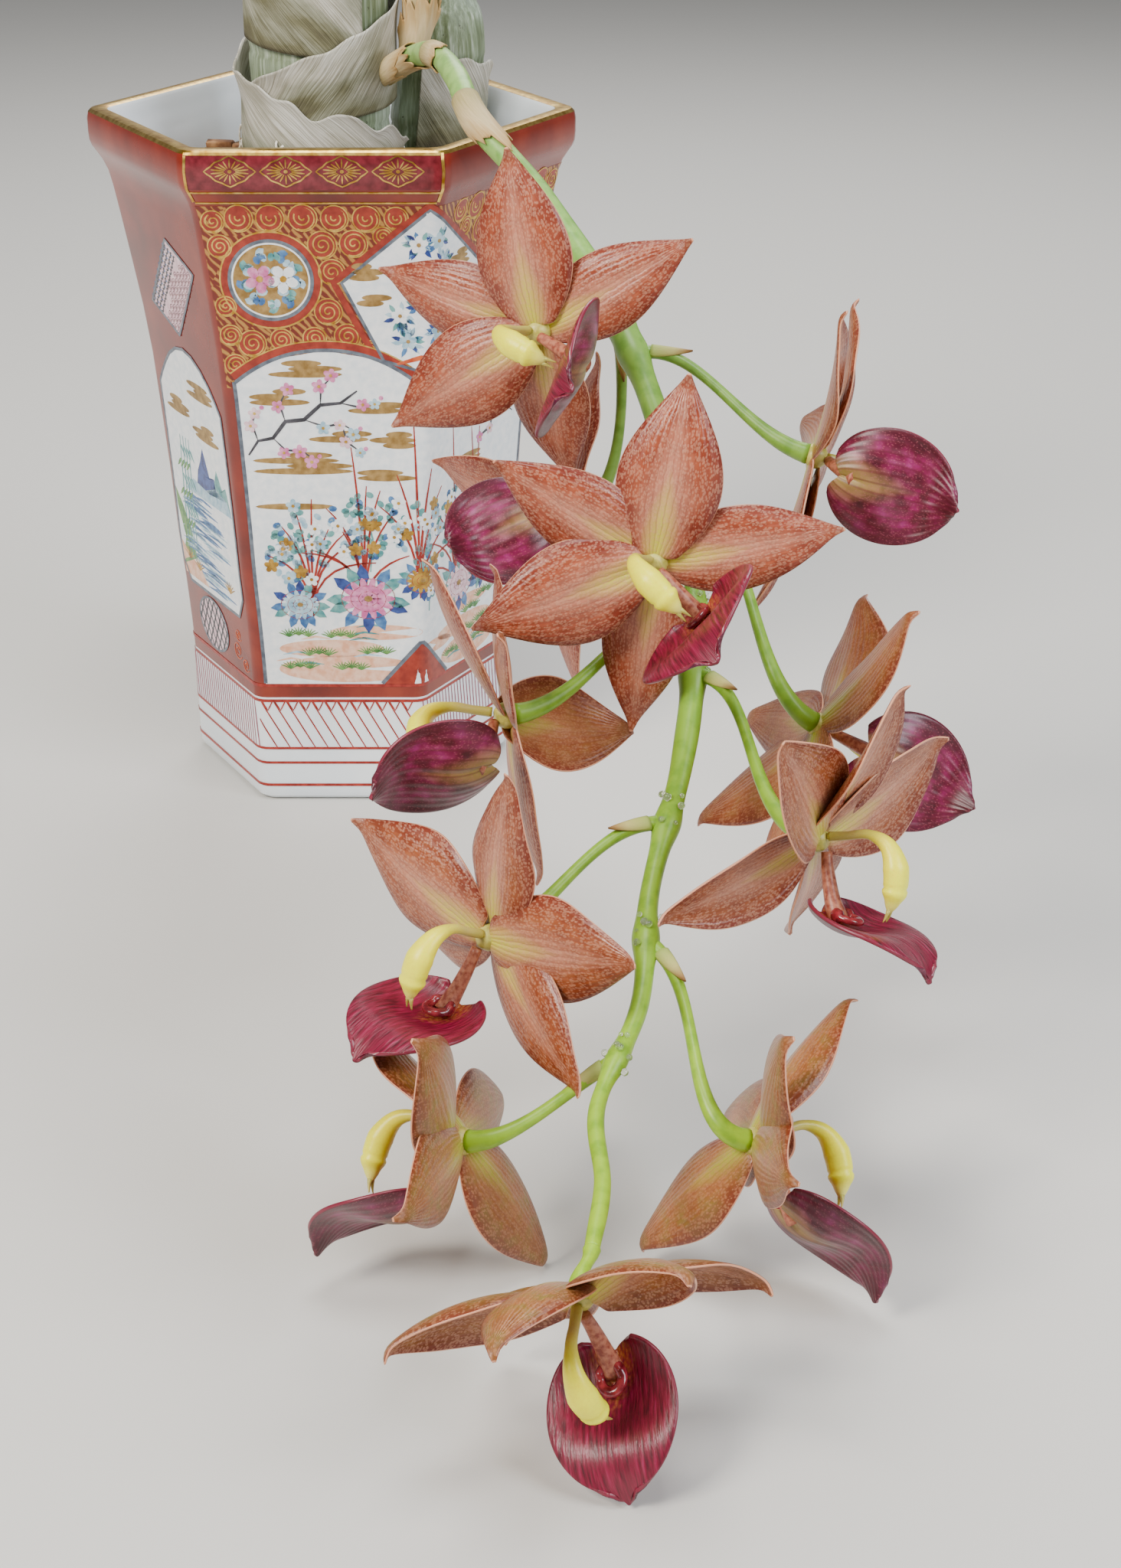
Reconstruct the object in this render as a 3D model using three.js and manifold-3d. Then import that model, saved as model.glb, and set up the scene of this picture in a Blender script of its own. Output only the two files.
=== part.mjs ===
// A potted orchid: two ribbed bulbs in a tall six-sided porcelain pot, and a flower stem that
// arches over the rim and trails down in front, with eleven blooms of five tepals, a lip and a column.
// Millimetres, Z up. The origin is the middle of the pot's base, and the spray trails towards -Y.

import * as THREE from 'three';
import { mergeVertices } from 'three/addons/utils/BufferGeometryUtils.js';
import Module from 'manifold-3d';

const wasm = await Module();
wasm.setup();

// Clearance between neighbouring solids
const GAP = 0.3;

// Pot: distance from the axis to a corner, which is also the width of one face, at each height
const POT_SIDES = 6;
const POT_PROFILE = [
  [50, 0], [52, 3], [52, 36], [55, 76], [59.5, 135], [66, 174], [68.5, 188], [73, 193],
  [74, 197], [74.5, 207], [73, 210],
];
const POT_INSIDE = [[67.5, 210], [66, 205], [61, 180], [53, 135], [48.5, 76], [45.5, 36], [44.5, 9]];
const CORNER_SPREAD = [-5, 0, 5];
const CORNER_EASE = 0.985;
const DRAIN_RADIUS = 6;
const DRAIN_PLACE = 26;
const DRAIN_COUNT = 4;

// Potting mix: a plug that fills the pot to a little below the rim
const MIX_TOP = 193;
const MIX_SHOULDER = 190;
const MIX_BUMP = 2.5;

// Bulbs: [radius, height] up the axis, with shallow ribs
const BULB_SIDES = 16;
const BULB_RIB = 0.03;
const MAIN_BULB = { foot: [-3, 0], lean: [0, 0], profile: [
  [16, 176], [19.5, 186], [21, 200], [20.5, 214], [21, 228], [21, 246], [20.5, 262], [18.5, 284],
  [15, 304], [10, 322], [5, 334],
] };
const BACK_BULB = { foot: [28, 27], lean: [0.1, 0.02], profile: [
  [12, 176], [14, 186], [14.5, 200], [14, 216], [12.5, 230], [8, 240],
] };

// Papery sheaths: clearance from the bulb, turn where the sheath starts and how far it goes round, in
// degrees, lower edge, and upper edge at its two ends
const SHEATH_THICK = 0.8;
const SHEATHS = [
  { name: 'sheath_low', bulb: MAIN_BULB, off: 2.9, from: 150, sweep: 215,
    low: [196, 197], high: [226, 203] },
  { name: 'sheath_middle', bulb: MAIN_BULB, off: 1.6, from: 200, sweep: 235,
    low: [206, 216], high: [219, 254] },
  { name: 'sheath_high', bulb: MAIN_BULB, off: 0.3, from: 60, sweep: 250,
    low: [238, 226], high: [288, 250] },
  { name: 'sheath_back', bulb: BACK_BULB, off: 0.4, from: -110, sweep: 190,
    low: [196, 199], high: [224, 214] },
];

// Young shoot beside the foot of the flower stem
const SHOOT = [[24.1, -3, 222], [27.5, -2, 240], [29.5, 0, 262], [31, 3, 284]];
const SHOOT_RADII = [3.4, 4.6, 3.2, 0.9];

// Flower stem: where its middle line runs, and its radius at both ends
const STEM_LINE = [
  [15, -7, 220], [25, -17, 227], [33, -36, 231.5], [40, -60, 229.5], [46, -80, 221.5], [64, -101, 205],
  [82, -128, 183], [95, -154, 156.5], [102, -186, 126], [101.5, -206, 109], [98, -226, 94.5],
  [90, -254, 76], [87, -281, 61], [77, -308, 50], [78, -328, 44], [75.5, -348, 41],
];
const STEM_STEPS = 36;
const STEM_SIDES = 6;
const STEM_RADII = [4.2, 2.3];
const NODE_SWELL = 1.1;
const PEDICEL_RADIUS = 2.1;
const PEDICEL_STEPS = 6;
const PEDICEL_SIDES = 5;
const BRACT = { length: 11, width: 4, thick: 0.8 };

// Blooms: [length, half width] of sepals and petals, and the small boss that carries them
const SEPAL = [44, 10.5];
const PETAL = [44, 12.8];
const TEPAL_THICK = 1;
const TEPAL_STEPS = 5;
const TEPAL_BEND = 34;
const TEPAL_ROOT = 1.6;
const TEPAL_CUP = 0.06;
const TEPAL_LAYER = { sepal: -2, petal: 0.6 };
const BOSS = { radius: 3.4, back: -3.4, front: 1.2, sides: 8 };

// Column: its middle line ahead of the boss and towards the back sepal, and its radii
const COLUMN_LINE = [[2.1, 1.7], [6, 3.2], [11.5, 5.4], [16.5, 4.6], [20, 0.8], [21.6, -4.6], [21.8, -10]];
const COLUMN_RADII = [1.3, 1.3, 1.5, 2.5, 3.4, 3.1, 1];
const COLUMN_STEPS = 8;
const COLUMN_SIDES = 5;
const CLAW_STEPS = 4;

// Lip: a claw that goes down from the boss to a shallow heart-shaped shell
const CLAW_LINE = [[2.5, -1.9], [4.2, -6], [7.5, -12.2], [10.5, -16.2]];
const CLAW_RADII = [1.3, 1.7, 2.1, 3.2];
const LIP = {
  rear: 6.5, length: 29, half: 14.5, round: 0.45, floor: -16, rise: 6, thick: 1.2, hook: 6, notch: 4,
};
const LIP_PIVOT = [10.5, -16.2];
const LIP_STEPS = [5, 4];

// Each bloom's place, the way it faces and the way its back sepal points, how far along the stem its
// stalk starts, the stalk's first direction, its lip's width factor, how far the lip hangs down in degrees,
// and [swing round, lift forward] in degrees of the back sepal, the two petals and the two side sepals
const BLOOMS = [
  { at: [63, -162, 185], face: [-0.29, -0.95, 0.12], back: [-0.89, 0.32, 0.33], along: 0.345,
    start: [-0.2, -0.8, -0.5], lip: 1.25, tepals: [[4, -6], [54, 0], [-60, 0], [114, -27], [-128, -5]] },
  { at: [91, -219, 145], face: [-0.08, -0.99, 0.14], back: [-0.74, 0.15, 0.66], along: 0.525,
    start: [0.2, -0.6, 0.7], lip: 1.25, tepals: [[8, 8], [62, 8], [-58, -3], [126, -14], [-128, -6]] },
  { at: [135, -160, 152], face: [0.96, -0.17, -0.22], back: [0.15, 0.98, -0.14], along: 0.4,
    start: [0.9, 0.1, 0.2], lip: 1, tepals: [[0, -8], [56, -5], [-56, -10], [118, -4], [-118, -6]] },
  { at: [69, -144, 128], face: [-0.88, -0.41, -0.23], back: [-0.17, 0.74, -0.65], along: 0.375,
    start: [0.1, 0.3, -1], lip: 1, tepals: [[0, -5], [63, 12], [-60, 20], [122, -10], [-122, -32]] },
  { at: [55, -224, 108], face: [-0.97, -0.25, -0.03], back: [-0.25, 0.91, 0.34], along: 0.575,
    start: [-0.8, -0.4, 0.4], lip: 1, tepals: [[-13, -9], [65, -62], [-70, 20], [114, -8], [-112, 9]] },
  { at: [52, -273, 74], face: [-0.71, -0.69, 0.11], back: [0.14, 0.01, 0.99], along: 0.715,
    start: [-0.9, -0.2, 0.2], lip: 1, tepals: [[-6, 8], [74, 4], [-74, -6], [112, -18], [-116, 8]] },
  { at: [46, -305, 40], face: [-0.88, 0.42, -0.24], back: [0.08, 0.62, 0.78], along: 0.87,
    start: [-0.8, 0.1, -0.6], lip: 1, hang: 12,
    tepals: [[1, 50], [71, 16], [-68, -18], [122, -4], [-119, -13]] },
  { at: [113, -307, 41], face: [0.89, 0.29, -0.34], back: [0.05, 0.68, 0.73], along: 0.79,
    start: [0.6, -0.4, -0.2], lip: 1, hang: 25,
    tepals: [[2, 35], [71, -24], [-71, 18], [111, -18], [-118, -9]] },
  { at: [73, -361, 37.8], face: [0.03, -0.83, -0.56], back: [-0.42, -0.52, 0.75], along: 1,
    start: [-0.1, -1, -0.1], lip: 1, tepals: [[4, 34], [54, 18], [-55, 12], [134, -6], [-134, -6]] },
  { at: [129, -257, 91], face: [0.8, -0.6, -0.07], back: [0.26, 0.24, 0.93], along: 0.615,
    start: [0.7, -0.5, 0.1], lip: 1, tepals: [[11, 19], [57, 1], [-52, 7], [124, -20], [-135, -20]] },
  { at: [134, -206, 97], face: [0.82, 0.18, -0.55], back: [-0.33, 0.93, -0.19], along: 0.5,
    start: [0.8, 0, -0.2], lip: 1, tepals: [[-7, 4], [53, 6], [-55, -9], [132, -10], [-122, -8]] },
];

const rad = THREE.MathUtils.degToRad;
const vec = (a) => new THREE.Vector3(...a);
const lerp = THREE.MathUtils.lerp;

// A closed mesh from points and triangles
function closedGeometry(points, triangles) {
  const geometry = new THREE.BufferGeometry();
  geometry.setAttribute('position', new THREE.Float32BufferAttribute(points.flatMap((p) => p.toArray()), 3));
  geometry.setIndex(triangles.flat());
  return geometry;
}

// A closed mesh as a solid for cutting and joining, and back
function toSolid(geometry) {
  const bare = geometry.clone();
  bare.deleteAttribute('normal');
  bare.deleteAttribute('uv');
  const merged = mergeVertices(bare, 1e-4);
  return new wasm.Manifold(new wasm.Mesh({
    numProp: 3,
    vertProperties: new Float32Array(merged.attributes.position.array),
    triVerts: new Uint32Array(merged.index.array),
  }));
}

function toGeometry(solid) {
  const mesh = solid.getMesh();
  const geometry = new THREE.BufferGeometry();
  geometry.setAttribute('position', new THREE.BufferAttribute(mesh.vertProperties, 3));
  geometry.setIndex(new THREE.BufferAttribute(mesh.triVerts, 1));
  geometry.computeVertexNormals();
  return geometry;
}

// Equal rings of points joined into a closed tube or pot, with a fan over the first and the last ring
function loft(rings) {
  const count = rings[0].length;
  const points = rings.flat();
  const triangles = [];
  for (let r = 0; r + 1 < rings.length; r += 1) {
    for (let i = 0; i < count; i += 1) {
      const a = r * count + i;
      const b = r * count + ((i + 1) % count);
      triangles.push([a, b, b + count], [a, b + count, a + count]);
    }
  }
  const middle = (ring) => ring.reduce((sum, p) => sum.add(p), new THREE.Vector3()).divideScalar(count);
  const first = points.push(middle(rings[0])) - 1;
  const last = points.push(middle(rings[rings.length - 1])) - 1;
  const top = (rings.length - 1) * count;
  for (let i = 0; i < count; i += 1) {
    const next = (i + 1) % count;
    triangles.push([first, next, i], [last, top + i, top + next]);
  }
  return closedGeometry(points, triangles);
}

// A thin closed sheet from two equal grids of points, triangulated alike on both faces
function sheet(front, back) {
  const rows = front.length;
  const columns = front[0].length;
  const half = rows * columns;
  const at = (r, c) => r * columns + c;
  const triangles = [];
  for (let r = 0; r + 1 < rows; r += 1) {
    for (let c = 0; c + 1 < columns; c += 1) {
      const [p, q, s, t] = [at(r, c), at(r + 1, c), at(r + 1, c + 1), at(r, c + 1)];
      triangles.push([p, q, s], [p, s, t], [half + p, half + s, half + q], [half + p, half + t, half + s]);
    }
  }
  const edge = [];
  for (let c = 0; c + 1 < columns; c += 1) {
    edge.push(at(0, c));
  }
  for (let r = 0; r + 1 < rows; r += 1) {
    edge.push(at(r, columns - 1));
  }
  for (let c = columns - 1; c > 0; c -= 1) {
    edge.push(at(rows - 1, c));
  }
  for (let r = rows - 1; r > 0; r -= 1) {
    edge.push(at(r, 0));
  }
  edge.forEach((a, i) => {
    const b = edge[(i + 1) % edge.length];
    triangles.push([a, b, half + b], [a, half + b, half + a]);
  });
  return closedGeometry([...front.flat(), ...back.flat()], triangles);
}

// A round stem along a curve, with a radius for each step
function stem(curve, steps, sides, radiusAt) {
  const frames = curve.computeFrenetFrames(steps);
  const rings = [];
  for (let i = 0; i <= steps; i += 1) {
    const centre = curve.getPointAt(i / steps);
    const radius = radiusAt(i / steps);
    const ring = [];
    for (let k = 0; k < sides; k += 1) {
      const turn = (2 * Math.PI * k) / sides;
      ring.push(centre.clone()
        .addScaledVector(frames.normals[i], radius * Math.cos(turn))
        .addScaledVector(frames.binormals[i], radius * Math.sin(turn)));
    }
    rings.push(ring);
  }
  return loft(rings);
}

// A value read from a short list spread evenly over 0 to 1
function along(list, t) {
  const place = t * (list.length - 1);
  const i = Math.min(Math.floor(place), list.length - 2);
  return lerp(list[i], list[i + 1], place - i);
}

// One level ring of the pot: a hexagon with eased corners, its front face square to -Y
function potRing(corner, height) {
  const ring = [];
  for (let side = 0; side < POT_SIDES; side += 1) {
    for (const spread of CORNER_SPREAD) {
      const turn = rad((360 / POT_SIDES) * side + spread);
      const apothem = corner * Math.cos(Math.PI / POT_SIDES);
      const onFace = apothem / Math.cos(Math.PI / POT_SIDES - Math.abs(rad(spread)));
      const reach = spread === 0 ? corner * CORNER_EASE : onFace;
      ring.push(new THREE.Vector3(reach * Math.cos(turn), reach * Math.sin(turn), height));
    }
  }
  return ring;
}

function pot() {
  const rings = [...POT_PROFILE, ...POT_INSIDE].map(([corner, height]) => potRing(corner, height));
  let body = toSolid(loft(rings));
  for (let i = 0; i < DRAIN_COUNT; i += 1) {
    const turn = rad(45 + (360 / DRAIN_COUNT) * i);
    const hole = new THREE.CylinderGeometry(DRAIN_RADIUS, DRAIN_RADIUS, 30, 12).rotateX(Math.PI / 2);
    hole.translate(DRAIN_PLACE * Math.cos(turn), DRAIN_PLACE * Math.sin(turn), 0);
    body = body.subtract(toSolid(hole));
  }
  return body;
}

// Where the pot's inner wall has its corner at a height
function insideCorner(height) {
  const below = POT_INSIDE.findIndex(([, z]) => z <= height);
  const [lowCorner, low] = POT_INSIDE[below];
  const [highCorner, high] = POT_INSIDE[below - 1];
  return lerp(lowCorner, highCorner, (height - low) / (high - low));
}

// The inside of the pot up to the level of the mix, less the clearance, with a bumpy top
function pottingMix() {
  const floor = POT_INSIDE[POT_INSIDE.length - 1][1] + GAP;
  const heights = POT_INSIDE.map(([, height]) => height).filter((z) => z > floor && z < MIX_SHOULDER);
  const sides = [floor, ...heights.reverse(), MIX_SHOULDER];
  const rings = sides.map((height) => potRing(insideCorner(height) - 2 * GAP, height));
  [0.7, 0.35].forEach((share, r) => {
    const ring = potRing(insideCorner(MIX_SHOULDER) * share, MIX_TOP);
    rings.push(ring.map((p, i) => p.setZ(p.z + MIX_BUMP * Math.sin(i * 2.3 + r * 1.7))));
  });
  return toSolid(loft(rings));
}

function bulbRadius(bulb, height) {
  const list = bulb.profile;
  const i = Math.max(1, list.findIndex(([, z]) => z >= height));
  const [lowRadius, low] = list[i - 1];
  const [highRadius, high] = list[i];
  return lerp(lowRadius, highRadius, (height - low) / (high - low));
}

function bulbPoint(bulb, radius, turn, height) {
  const rise = height - bulb.profile[0][1];
  return new THREE.Vector3(
    bulb.foot[0] + bulb.lean[0] * rise + radius * Math.cos(turn),
    bulb.foot[1] + bulb.lean[1] * rise + radius * Math.sin(turn),
    height,
  );
}

// A ribbed bulb, swollen by grow where it is used to cut its neighbours
function bulb(form, grow = 0) {
  const rings = form.profile.map(([radius, height]) => {
    const ring = [];
    for (let i = 0; i < BULB_SIDES; i += 1) {
      const ribbed = radius * (1 - (i % 2) * BULB_RIB) + grow;
      ring.push(bulbPoint(form, ribbed, (2 * Math.PI * i) / BULB_SIDES, height));
    }
    return ring;
  });
  return toSolid(loft(rings));
}

// A dry sheath wrapped round a bulb, its edges running aslant
function sheath(form) {
  const [across, up] = [12, 3];
  const face = (lift) => {
    const rows = [];
    for (let i = 0; i <= across; i += 1) {
      const turn = rad(form.from + (form.sweep * i) / across);
      const low = lerp(form.low[0], form.low[1], i / across);
      const high = lerp(form.high[0], form.high[1], i / across);
      const row = [];
      for (let j = 0; j <= up; j += 1) {
        const height = lerp(low, high, j / up);
        const radius = bulbRadius(form.bulb, height) / Math.cos(Math.PI / BULB_SIDES) + lift;
        row.push(bulbPoint(form.bulb, radius, turn, height));
      }
      rows.push(row);
    }
    return rows;
  };
  return toSolid(sheet(face(form.off + SHEATH_THICK), face(form.off)));
}

// A bloom's own axes: forward out of the flower, up its back sepal, and across
function bloomAxes(bloom) {
  const forward = vec(bloom.face).normalize();
  const upward = vec(bloom.back);
  upward.addScaledVector(forward, -upward.dot(forward)).normalize();
  const across = new THREE.Vector3().crossVectors(forward, upward);
  return { centre: vec(bloom.at), forward, upward, across };
}

function bloomPoint(axes, forward, upward, across) {
  return axes.centre.clone()
    .addScaledVector(axes.forward, forward)
    .addScaledVector(axes.upward, upward)
    .addScaledVector(axes.across, across);
}

// Half width of a tepal: a narrow foot, widest before the middle, drawn out to a point
function tepalOutline(t) {
  const eased = Math.pow(0.08 + 0.92 * t, 0.9);
  return Math.pow(Math.sin(Math.PI * eased), 0.85) * (1 - 0.3 * Math.pow(t, 4));
}

// One tepal: an arched blade that starts in the boss and leans back towards its tip
function tepal(axes, [length, half], [swing, lift], behind) {
  const bend = rad(TEPAL_BEND);
  const first = rad(lift) + bend / 2;
  const outward = bloomPoint(axes, 0, Math.cos(rad(swing)), Math.sin(rad(swing))).sub(axes.centre);
  const sideways = new THREE.Vector3().crossVectors(axes.forward, outward);
  const face = (thick) => {
    const rows = [];
    for (let i = 0; i <= TEPAL_STEPS; i += 1) {
      const t = i / TEPAL_STEPS;
      const slope = first - bend * t;
      const out = TEPAL_ROOT + (length * (Math.sin(first) - Math.sin(slope))) / bend;
      const ahead = behind + (length * (Math.cos(slope) - Math.cos(first))) / bend;
      const normal = axes.forward.clone().multiplyScalar(Math.cos(slope))
        .addScaledVector(outward, -Math.sin(slope));
      const width = Math.max(half * tepalOutline(t), 0.5);
      rows.push([-1, 0, 1].map((side) => axes.centre.clone()
        .addScaledVector(outward, out)
        .addScaledVector(axes.forward, ahead)
        .addScaledVector(sideways, side * width)
        .addScaledVector(normal, thick - TEPAL_CUP * width * Math.abs(side))));
    }
    return rows;
  };
  return toSolid(sheet(face(TEPAL_THICK / 2), face(-TEPAL_THICK / 2)));
}

function bloomTepals(bloom) {
  const axes = bloomAxes(bloom);
  const ring = (ahead) => {
    const points = [];
    for (let i = 0; i < BOSS.sides; i += 1) {
      const turn = (2 * Math.PI * i) / BOSS.sides;
      points.push(bloomPoint(axes, ahead, BOSS.radius * Math.cos(turn), BOSS.radius * Math.sin(turn)));
    }
    return points;
  };
  let solid = toSolid(loft([ring(BOSS.back), ring(BOSS.front)]));
  bloom.tepals.forEach((pose, i) => {
    const isPetal = i === 1 || i === 2;
    const layer = isPetal ? TEPAL_LAYER.petal : TEPAL_LAYER.sepal;
    solid = solid.add(tepal(axes, isPetal ? PETAL : SEPAL, pose, layer));
  });
  return solid;
}

function bloomCurve(axes, line) {
  return new THREE.CatmullRomCurve3(line.map(([ahead, up]) => bloomPoint(axes, ahead, up, 0)));
}

function bloomColumn(bloom) {
  const curve = bloomCurve(bloomAxes(bloom), COLUMN_LINE);
  return toSolid(stem(curve, COLUMN_STEPS, COLUMN_SIDES, (t) => along(COLUMN_RADII, t)));
}

// The lip's shell: a heart with its notch at the claw, its sides raised and its tip hooked down
function lipPoint(axes, bloom, t, s, lift) {
  const half = LIP.half * bloom.lip * Math.pow(Math.sin(Math.PI * Math.pow(0.06 + 0.92 * t, 0.8)), LIP.round);
  const ahead = LIP.rear + LIP.length * t - LIP.notch * s * s * (1 - t) ** 2;
  const raised = (LIP.rise / bloom.lip) * s * s * Math.sin(Math.PI * Math.min(1, 0.25 + t * 0.7));
  const hooked = LIP.hook * Math.pow(t, 7);
  const [hingeAhead, hingeUp] = LIP_PIVOT;
  const [out, over] = [ahead - hingeAhead, LIP.floor + raised - hooked + lift - hingeUp];
  const hang = rad(bloom.hang ?? 0);
  return bloomPoint(
    axes,
    hingeAhead + out * Math.cos(hang) + over * Math.sin(hang),
    hingeUp + over * Math.cos(hang) - out * Math.sin(hang),
    half * s,
  );
}

function bloomLip(bloom) {
  const axes = bloomAxes(bloom);
  const face = (lift) => {
    const rows = [];
    for (let i = 0; i <= LIP_STEPS[0]; i += 1) {
      const row = [];
      for (let j = 0; j <= LIP_STEPS[1]; j += 1) {
        row.push(lipPoint(axes, bloom, i / LIP_STEPS[0], (2 * j) / LIP_STEPS[1] - 1, lift));
      }
      rows.push(row);
    }
    return rows;
  };
  const shell = toSolid(sheet(face(-LIP.thick / 2), face(LIP.thick / 2)));
  const claw = stem(bloomCurve(axes, CLAW_LINE), CLAW_STEPS, COLUMN_SIDES, (t) => along(CLAW_RADII, t));
  return shell.add(toSolid(claw));
}

// The stalk of one bloom, from inside the stem to just behind the bloom's boss
function pedicelCurve(bloom, line) {
  const axes = bloomAxes(bloom);
  const start = line.getPointAt(bloom.along);
  const end = bloomPoint(axes, BOSS.back - GAP, 0, 0);
  const reach = start.distanceTo(end) / 3;
  return new THREE.CubicBezierCurve3(
    start,
    start.clone().addScaledVector(vec(bloom.start).normalize(), reach),
    end.clone().addScaledVector(axes.forward, -reach),
    end,
  );
}

// A small pointed scale in the angle below a stalk
function bract(curve) {
  const root = curve.getPointAt(0.08);
  const way = curve.getTangentAt(0.08);
  const side = new THREE.Vector3().crossVectors(way, new THREE.Vector3(0, 0, 1)).normalize();
  const under = new THREE.Vector3().crossVectors(way, side).normalize();
  const face = (lift) => [0, 0.4, 1].map((t) => [-1, 0, 1].map((s) => root.clone()
    .addScaledVector(way, BRACT.length * t)
    .addScaledVector(under, PEDICEL_RADIUS * (0.6 + t * 0.9) + lift)
    .addScaledVector(side, (s * Math.max(0.4, BRACT.width * (1 - t))) / 1.6)));
  return toSolid(sheet(face(BRACT.thick), face(0)));
}

function flowerStem(grow = 0) {
  const line = new THREE.CatmullRomCurve3(STEM_LINE.map(vec));
  const swell = (t) => NODE_SWELL * Math.max(...BLOOMS.map((b) => Math.exp(-(((t - b.along) / 0.012) ** 2))));
  const radius = (t) => lerp(STEM_RADII[0], STEM_RADII[1], t) + swell(t) + grow;
  let solid = toSolid(stem(line, STEM_STEPS, STEM_SIDES, radius));
  for (const bloom of BLOOMS) {
    const curve = pedicelCurve(bloom, line);
    solid = solid.add(toSolid(stem(curve, PEDICEL_STEPS, PEDICEL_SIDES, () => PEDICEL_RADIUS + grow)));
    if (grow === 0 && bloom.along < 1) solid = solid.add(bract(curve));
  }
  return solid;
}

const group = new THREE.Group();

function place(name, solid, color, roughness, metalness = 0) {
  const material = new THREE.MeshStandardMaterial({ color, roughness, metalness });
  const mesh = new THREE.Mesh(toGeometry(solid), material);
  mesh.name = name;
  group.add(mesh);
}

const mainBulb = bulb(MAIN_BULB);
const backBulb = bulb(BACK_BULB);
const bulbsGrown = bulb(MAIN_BULB, GAP).add(bulb(BACK_BULB, GAP));
const stemGrown = flowerStem(GAP);

place('pot', pot(), 0xb0432c, 0.2);
place('potting_mix', pottingMix().subtract(bulbsGrown), 0x6b4a32, 0.95);
place('bulb_main', mainBulb, 0x8c9a7c, 0.6);
place('bulb_back', backBulb, 0x9aa68c, 0.6);
for (const form of SHEATHS) {
  place(form.name, sheath(form).subtract(stemGrown), 0xcfc8ba, 0.8);
}

const shootCurve = new THREE.CatmullRomCurve3(SHOOT.map(vec));
const shoot = toSolid(stem(shootCurve, 6, 8, (t) => along(SHOOT_RADII, t)));
place('young_shoot', shoot.subtract(stemGrown), 0x4a6a2c, 0.5);
place('flower_stem', flowerStem().subtract(bulbsGrown), 0x8fbf4a, 0.45);

BLOOMS.forEach((bloom, i) => {
  const name = `bloom_${String(i + 1).padStart(2, '0')}`;
  place(`${name}_tepals`, bloomTepals(bloom), 0xb05a3c, 0.5);
  place(`${name}_column`, bloomColumn(bloom), 0xe4d840, 0.4);
  place(`${name}_lip`, bloomLip(bloom), 0x8e1540, 0.25);
});

export default group;
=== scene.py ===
"""A potted orchid hybrid in bloom: two ribbed bulbs in a tall six-sided porcelain pot, and a flower stem
that arches over the rim and trails down in front of it, with eleven blooms.

Sizes are in millimetres, and MM turns them to metres. The origin is the middle of the pot's base,
the front face of the pot looks towards -Y, and the sections follow the plant as it stands together.
"""

import math
import random

import bmesh
import bpy
from mathutils import Matrix, Vector


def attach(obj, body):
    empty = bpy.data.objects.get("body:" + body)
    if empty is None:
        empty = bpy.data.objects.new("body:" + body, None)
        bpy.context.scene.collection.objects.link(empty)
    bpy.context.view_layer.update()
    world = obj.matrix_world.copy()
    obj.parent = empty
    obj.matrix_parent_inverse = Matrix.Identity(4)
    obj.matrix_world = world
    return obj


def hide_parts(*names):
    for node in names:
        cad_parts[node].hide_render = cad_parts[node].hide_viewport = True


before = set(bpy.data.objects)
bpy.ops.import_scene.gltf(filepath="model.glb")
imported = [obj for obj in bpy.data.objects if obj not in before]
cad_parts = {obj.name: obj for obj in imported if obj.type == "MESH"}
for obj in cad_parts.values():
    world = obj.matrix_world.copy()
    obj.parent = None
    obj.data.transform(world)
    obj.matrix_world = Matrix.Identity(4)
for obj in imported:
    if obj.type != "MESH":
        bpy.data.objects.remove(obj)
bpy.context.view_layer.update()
MM = 0.001

# Materials: each is one Principled shader with a few nodes before it


def tint(code):
    """An sRGB hex value as Blender's linear colour."""
    parts = [int(code[i:i + 2], 16) / 255 for i in (1, 3, 5)]
    return [p / 12.92 if p <= 0.04045 else ((p + 0.055) / 1.055) ** 2.4 for p in parts] + [1]


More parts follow.
